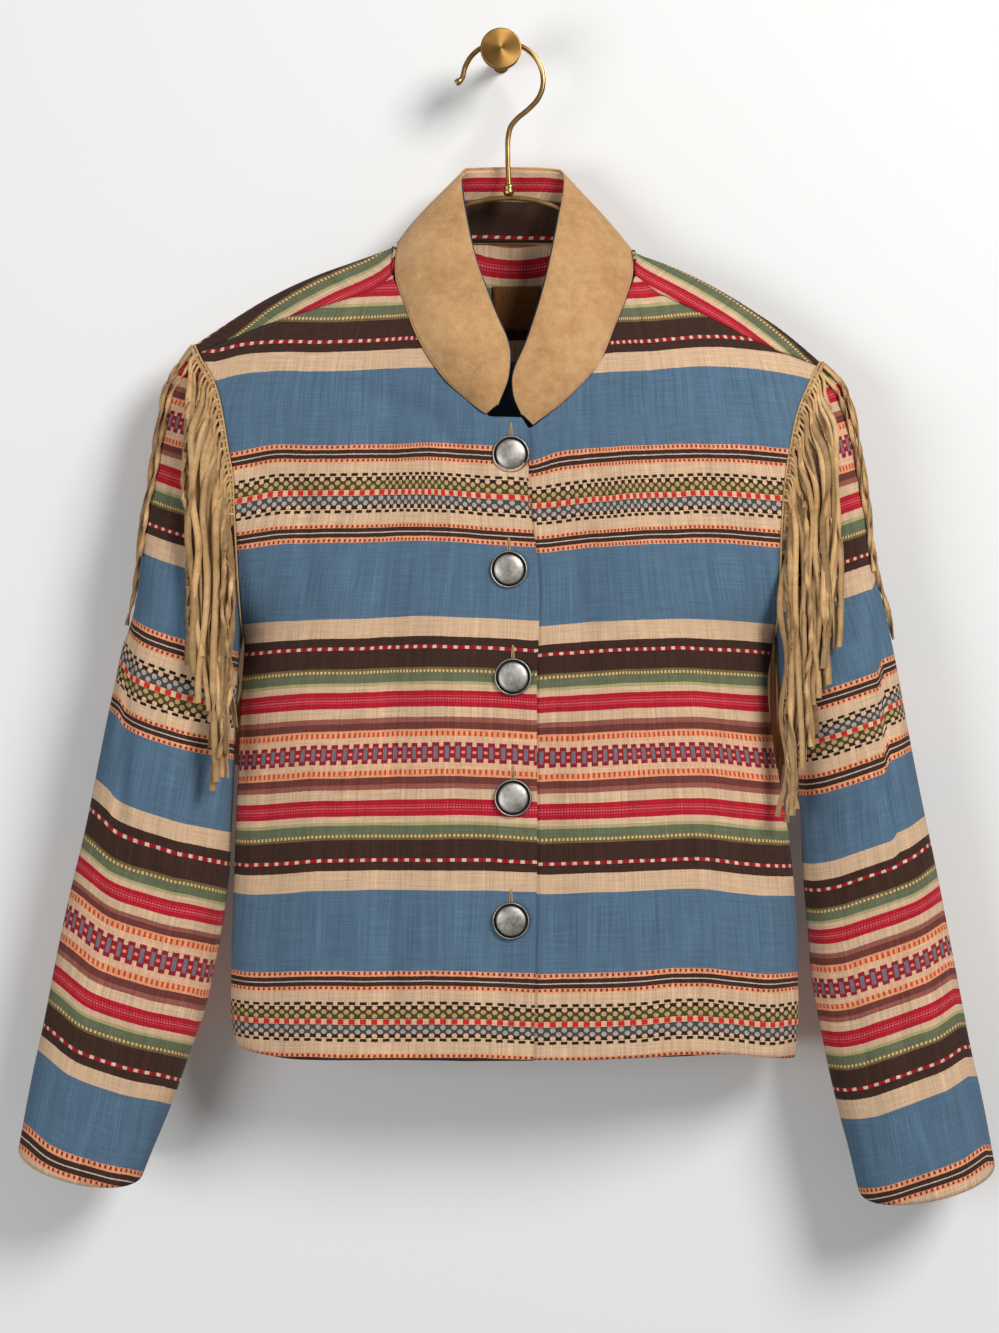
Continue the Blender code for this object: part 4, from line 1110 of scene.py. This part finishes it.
def strand_path(sign, front, part, curtain, ends, plane, rng):
    """Points down the middle of one hanging strand."""
    face = 1 if front else -1
    look = np.array([0, -face, 0.0])
    hole, outward = armhole(sign, ROOTS_FROM + ROOTS_RUN * part)
    y = front_y(*hole) if front else back_y(*hole)
    root = np.array([hole[0], y, hole[1]]) + look * 0.2
    go = np.array([outward[0], 0, outward[1]])
    reach = rng.uniform(*ROOT_REACH) * (1 - 0.25 * part)
    lift = rng.uniform(*ROOT_LIFT)
    fall = sign * (np.interp(part, (0, 1), curtain) + rng.uniform(-STRAY, STRAY))
    off = OFF_CLOTH + OFF_RANGE * rng.random() + 2.0 * ramp(0.5, 1, part)
    end = np.interp(part, *np.transpose(ends)) + rng.uniform(*END_STRAY)
    rows = [(0, *root), (4, *(root + go * reach * 0.55 + look * lift * 0.8)),
            (9, *(root + go * reach + look * lift + (0, 0, -3)))]
    start = rows[-1]
    centre = sign * (curtain[0] * 0.38 + curtain[1] * 0.62)
    for down in np.linspace(16, root[2] - end, 9):
        share = down / (root[2] - end)
        settle = ramp(9, 55, down)
        x = start[1] + (fall - start[1]) * settle + (centre - fall) * 0.16 * share**2
        z = root[2] - down
        clear = through(plane, -z) - face * off
        held = start[2] + (clear - start[2]) * ramp(9, 40, down)
        held = min(held, clear) if front and down > 45 else held
        rows.append((down + 2, x, held, z))
    rows = np.array(rows)
    run = np.linspace(0, rows[-1, 0], 44)
    points = through(rows, run)
    loose = ramp(10, 90, run)
    sway = rng.uniform(0.8, 3.0) * loose
    points[:, 0] += sway * np.sin(run * 2 * math.pi / rng.uniform(80, 170) + rng.uniform(0, 6.3))
    points[:, 0] += rng.uniform(-5, 5) * ramp(run[-1] - 80, run[-1], run) ** 2
    sway = rng.uniform(0.3, 0.9) * loose
    points[:, 1] += sway * np.sin(run * 2 * math.pi / rng.uniform(60, 120) + rng.uniform(0, 6.3))
    return points, np.tile(look, (len(points), 1)), run


def fringe_mesh(sign, rng):
    """A fringe's points, faces and tones, with painted shade on the sides and backs of its
    strands: its strands and the strip that holds them.
    """
    points, faces, tones_and_shade = [], [], []

    def take(rings, tone):
        start = sum(len(p) for p in points)
        count = len(rings)
        for r in range(count - 1):
            for c in range(6):
                a, b = start + r * 6 + c, start + r * 6 + (c + 1) % 6
                faces.append((a, b, b + 6, a + 6))
        faces.append(tuple(start + c for c in range(6))[::-1])
        faces.append(tuple(start + (count - 1) * 6 + c for c in range(6)))
        points.append(rings.reshape(-1, 3))
        # Painted shade: each ring's two sides and its back are darker than its front face.
        painted_side_shade = np.array([0.5, 1, 0.5, 0.2, 0.6, 0.2])
        tones_and_shade.append(np.tile((0.35 + 0.65 * tone) * painted_side_shade, count))

    curtain = CURTAIN_LEFT if sign < 0 else CURTAIN_RIGHT
    ends = ENDS_LEFT if sign < 0 else ENDS_RIGHT
    for front, count in ((True, FRONT_STRANDS), (False, BACK_STRANDS)):
        plane = hang_plane(sign, front, (curtain[1] - 4, curtain[0] + 4))
        for n in range(count):
            part = (n + 0.5 + rng.uniform(-0.25, 0.25)) / count
            path, look, run = strand_path(sign, front, part, curtain, ends, plane, rng)
            kind = rng.random()
            loose = ramp(14, 45, run)
            base = rng.uniform(-0.8, 0.8)
            full = rng.uniform(*STRAND_WIDTHS)
            if kind < 0.16:
                turn = loose * (run - 14) * 2 * math.pi / rng.uniform(30, 44) * rng.choice((-1, 1))
                full = TWISTED_WIDTH
            elif kind < 0.6:
                centre = rng.uniform(0.35, 0.8) * run[-1]
                turn = ramp(centre - 20, centre + 20, run) * math.pi * rng.choice((-1, 1)) + base
            else:
                turn = base + 0.5 * np.sin(run / rng.uniform(28, 50) + rng.uniform(0, 6))
            turn = turn * loose
            width = full * (0.45 + 0.55 * ramp(4, 40, run))
            take(strip(path, look, width, STRAND_THICK + 0 * run, turn), rng.random())
    for turn, reach in DRAPED:
        places = np.concatenate([[3.0 / SLEEVE_LENGTH], np.linspace(0.03, reach, 9)])
        path = sleeve_points(sign, places, turn * math.pi)
        aside = sleeve_points(sign, places, turn * math.pi + 0.05)
        out = np.cross(np.gradient(path, axis=0), aside - path) * -sign
        out /= np.linalg.norm(out, axis=1, keepdims=True)
        rows = np.column_stack([np.arange(len(path)), path + out * 2.2, out])
        fine = through(rows, np.linspace(0, len(path) - 1, 60))
        run = np.linspace(0, 1, 60)
        spin = run * 2 * math.pi * 190 / rng.uniform(44, 64) * ramp(0.05, 0.2, run)
        width, thick = DRAPED_WIDTH + 0 * run, STRAND_THICK + 0 * run
        take(strip(fine[:, :3], fine[:, 3:], width, thick, spin), rng.random())

    # The strip that holds the strands, on the sleeve beside the seam
    around = np.linspace(-0.58, 0.58, 120)[:, None] * math.pi
    share = (1 - np.cos(around)) / 2
    length = SLEEVE_LENGTH * (1 - share) + INNER_LENGTH * share
    place = np.array([0.3, 3.2])[None, :] / length
    grid = sleeve_points(sign, place, around)
    out = normals(grid, sign < 0)
    high, low = grid + out * 1.9, grid + out * 0.7
    mid = (high[:, 0] + high[:, 1]) / 2 + out[:, 0] * 0.4
    rings = np.stack([high[:, 0], mid, high[:, 1], low[:, 1], mid - out[:, 0], low[:, 0]], 1)
    take(rings if sign < 0 else rings[:, ::-1], 0.55)
    return np.concatenate(points), faces, np.concatenate(tones_and_shade)


rng = np.random.default_rng(11)
for name, sign in (("left", -1), ("right", 1)):
    points, faces, tones_and_shade = fringe_mesh(sign, rng)
    piece = mesh_piece("jacket_fringe_" + name, points, faces, FRINGE_SUEDE,
                       tone=tones_and_shade)
    piece.data.set_sharp_from_angle(angle=math.radians(50))
    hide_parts("fringe_" + name)


# Buttons, hanger and peg


def turned(name, outline, centre, axis, steps, materials):
    """A piece turned round an axis of y or z from (radius, height, material) rows."""
    turn = np.linspace(0, 2 * math.pi, steps, endpoint=False)
    points = []
    for row in outline:
        a, b = row[0] * np.cos(turn), row[0] * np.sin(turn)
        ring = (a, 0 * a - row[1], b) if axis == "y" else (a, b, 0 * a + row[1])
        points.append(np.stack(ring, -1))
    points = np.concatenate(points) + centre
    faces, kinds = [], []
    for r in range(len(outline) - 1):
        for n in range(steps):
            m = (n + 1) % steps
            faces.append((r * steps + n, r * steps + m, (r + 1) * steps + m, (r + 1) * steps + n))
            kinds.append(min(outline[r][2], outline[r + 1][2]) if len(outline[r]) > 2 else 0)
    last = (len(outline) - 1) * steps
    faces += [tuple(range(steps))[::-1], tuple(range(last, last + steps))]
    kinds += [0, 0]
    piece = mesh_piece(name, points, faces, materials[0])
    for material in materials[1:]:
        piece.data.materials.append(material)
    piece.data.polygons.foreach_set("material_index", kinds)
    piece.data.set_sharp_from_angle(angle=math.radians(60))
    return piece


# A buttonhole's slit, a near-black cord of painted shade, and its lips, as (out from its middle,
# material, name)
HOLE_PARTS = ((0.0, GROOVE_AND_SHADE, "slit_shade"), (-0.75, THREAD, "lip_a"), (0.75, THREAD, "lip_b"))
for number, (x, z) in enumerate(BUTTONS, 1):
    node = nodes[f"button_{number}"]
    foot = max((node.matrix_world @ mathutils.Vector(c)).y for c in node.bound_box) / MM
    centre = (x, foot, z)
    # The button's dark faces: its groove, and its rim's outer wall as painted shadow
    piece = turned(f"jacket_button_{number}", BUTTON_OUTLINE, centre, "y", 56,
                   (PEWTER, GROOVE_AND_SHADE))
    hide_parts(f"button_{number}")
    for side, made, part in HOLE_PARTS:
        up = np.linspace(z + HOLE_FOOT, z + HOLE_TOP, 8)
        pinch = side * (1 - 0.85 * ((up - up[0]) / (up[-1] - up[0])) ** 3)
        line = np.stack([x + pinch, front_y(x + pinch, up) - 0.25, up], -1)
        tube(f"buttonhole_{number}_{part}", line, HOLE_RADIUS, made)


def wire(name, places, node, tip=False):
    """A wire in the hanger's plane, with a small knob at its tip if wanted."""
    places = np.array(places, float)
    steps = np.linalg.norm(np.diff(places, axis=0), axis=1)
    rows = np.column_stack([np.concatenate([[0], np.cumsum(steps)]), places])
    run = np.linspace(0, rows[-1, 0], 140)
    line = through(rows, run)
    path = np.stack([line[:, 0] - CENTRE_X, RIDGE_Y + 0 * run, line[:, 1]], -1)
    radii = 1 + (0.4 * np.exp(-(((run - 2.2) / 1.8) ** 2)) if tip else 0 * run)
    piece = tube(name, path, WIRE, BRASS, 16, radii=radii)
    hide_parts(node)


wire("wire_hook", HOOK, "hanger_hook", tip=True)
arms = [(CENTRE_X - x, ridge(-x) - ARM_DROP) for x in ARMS_OUT]
arms += [*ARMS_AT_NECK]
arms += [(CENTRE_X + x, ridge(x) - ARM_DROP) for x in ARMS_OUT[::-1]]
wire("wire_arms", arms, "hanger_arms")
ferrule = turned("wire_ferrule", FERRULE, (5.9 - CENTRE_X, RIDGE_Y, 0), "z", 48, (BRASS,))
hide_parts("hanger_ferrule")
peg = turned("peg", WALL_PEG, (-CENTRE_X, 0, 0), "y", 96, (KNOB,))
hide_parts("wall_peg")

# Edges: the collar's rolled edge, its dark facing line, and the label's stitched border
facing_out = normals(outer, True)
rim = outer[:, -1] - facing_out[:, -1] * SUEDE / 2
rim_piece = tube("collar_rim", rim, RIM, COLLAR_SUEDE, 12)
past = outer[:, -1] - outer[:, -2]
past = past / np.linalg.norm(past, axis=1, keepdims=True)
line = outer[:, -1] + past * 0.8 - facing_out[:, -1] * (SUEDE + 0.5)
lines = [tube("facing_line_" + side, line[shown], FACING_LINE, EDGING, 12)
         for side, shown in (("left", slice(3, 64)), ("right", slice(116, -3)))]
base = outer[:, 0] - facing_out[:, 0] * SUEDE / 2
foot_piece = tube("collar_foot", base, COLLAR_FOOT, COLLAR_SUEDE, 12)
corners = [patch[i, j] - (0, 0.15, 0) for i, j in ((1, 1), (-2, 1), (-2, -2), (1, -2))]
border = tube("label_border", corners, BORDER, LABEL_EDGE, 8, closed=True)

# Cords in the armhole seams
for name, sign in (("left", -1), ("right", 1)):
    around = np.linspace(-0.93, 0.93, 150) * math.pi
    hole, outward = armhole(sign, (1 - np.cos(around)) / 2)
    at_x, at_z = (hole + outward * SEAM_GAP / 2).T
    y = np.where(around > 0, front_y(*hole.T) - 0.2, back_y(*hole.T) + 0.2)
    cord = np.stack([at_x, y, at_z], -1)
    tube("seam_cord_" + name, cord, SEAM_CORD, THREAD, 8)

# Stage


def plane(name, corners, rgb):
    """A pale plane that only the camera sees, and only from its front."""
    f = Finish(name, 0.95)
    place = f.add("TexCoord").outputs["Object"]
    grain = f.noise(place, 90.0, 4.0, 0.6)
    f.bump(grain, 0.06, 0.002)
    f.paint(colour(rgb))
    facing_away = f.add("NewGeometry").outputs["Backfacing"]
    clear = f.add("BsdfTransparent").outputs[0]
    mixed = f.add("MixShader", facing_away, f.shader.outputs[0], clear)
    f.put(f.tree.nodes["Material Output"].inputs[0], mixed.outputs[0])
    mesh = bpy.data.meshes.new(name)
    mesh.from_pydata(corners, [], [(0, 1, 2, 3)])
    mesh.materials.append(f.made)
    piece = bpy.data.objects.new(name, mesh)
    bpy.context.scene.collection.objects.link(piece)
    piece.visible_shadow = piece.visible_diffuse = piece.visible_glossy = False


# The wall lies a millimetre behind the mount. The floor runs forward from its foot.
SIDE, WALL_Y, FRONT, FLOOR_Z, TOP = 4, 0.001, -5, -1.6, 3
PALE = (226, 226, 226)
plane("wall", [(-SIDE, WALL_Y, FLOOR_Z), (SIDE, WALL_Y, FLOOR_Z), (SIDE, WALL_Y, TOP),
               (-SIDE, WALL_Y, TOP)], PALE)
plane("floor", [(-SIDE, FRONT, FLOOR_Z), (SIDE, FRONT, FLOOR_Z), (SIDE, WALL_Y, FLOOR_Z),
                (-SIDE, WALL_Y, FLOOR_Z)], PALE)

camera = bpy.data.cameras.new("camera")
camera.sensor_fit = "AUTO"
camera.sensor_width = SENSOR
camera.lens = FOCAL * SENSOR / PICTURE[1]
camera.clip_end = 50
eye = bpy.data.objects.new("camera", camera)
eye.location = (VIEW_X * MM, -VIEW_DISTANCE * MM, VIEW_Z * MM)
eye.rotation_euler = (math.pi / 2, 0, 0)
bpy.context.scene.collection.objects.link(eye)
bpy.context.scene.camera = eye

world = bpy.data.worlds.new("world")
world.use_nodes = True
world.node_tree.nodes["Background"].inputs[0].default_value = (1.0, 0.99, 0.97, 1)
world.node_tree.nodes["Background"].inputs[1].default_value = 0.26
bpy.context.scene.world = world


def lamp(name, place, target, size, power, tint=(1, 1, 1)):
    """A round soft light that faces a target."""
    data = bpy.data.lights.new(name, "AREA")
    data.shape = "DISK"
    data.size = size
    data.energy = power
    data.color = tint
    piece = bpy.data.objects.new(name, data)
    bpy.context.scene.collection.objects.link(piece)
    piece.location = place
    aim = np.subtract(target, place)
    flat = math.hypot(aim[0], aim[1])
    piece.rotation_euler = (math.atan2(flat, -aim[2]), 0, math.atan2(-aim[0], aim[1]))


lamp("key", (1.7, -2.1, 1.1), (0, 0, -0.5), 1.3, 88, (1, 0.99, 0.97))
lamp("fill", (-2.2, -2.6, -0.8), (0, 0, -0.7), 1.8, 46, (0.98, 0.99, 1))
lamp("back_light", (0.6, 2.6, 1.0), (0, 0, -0.4), 1.6, 42)
bpy.context.scene.view_settings.view_transform = "Standard"
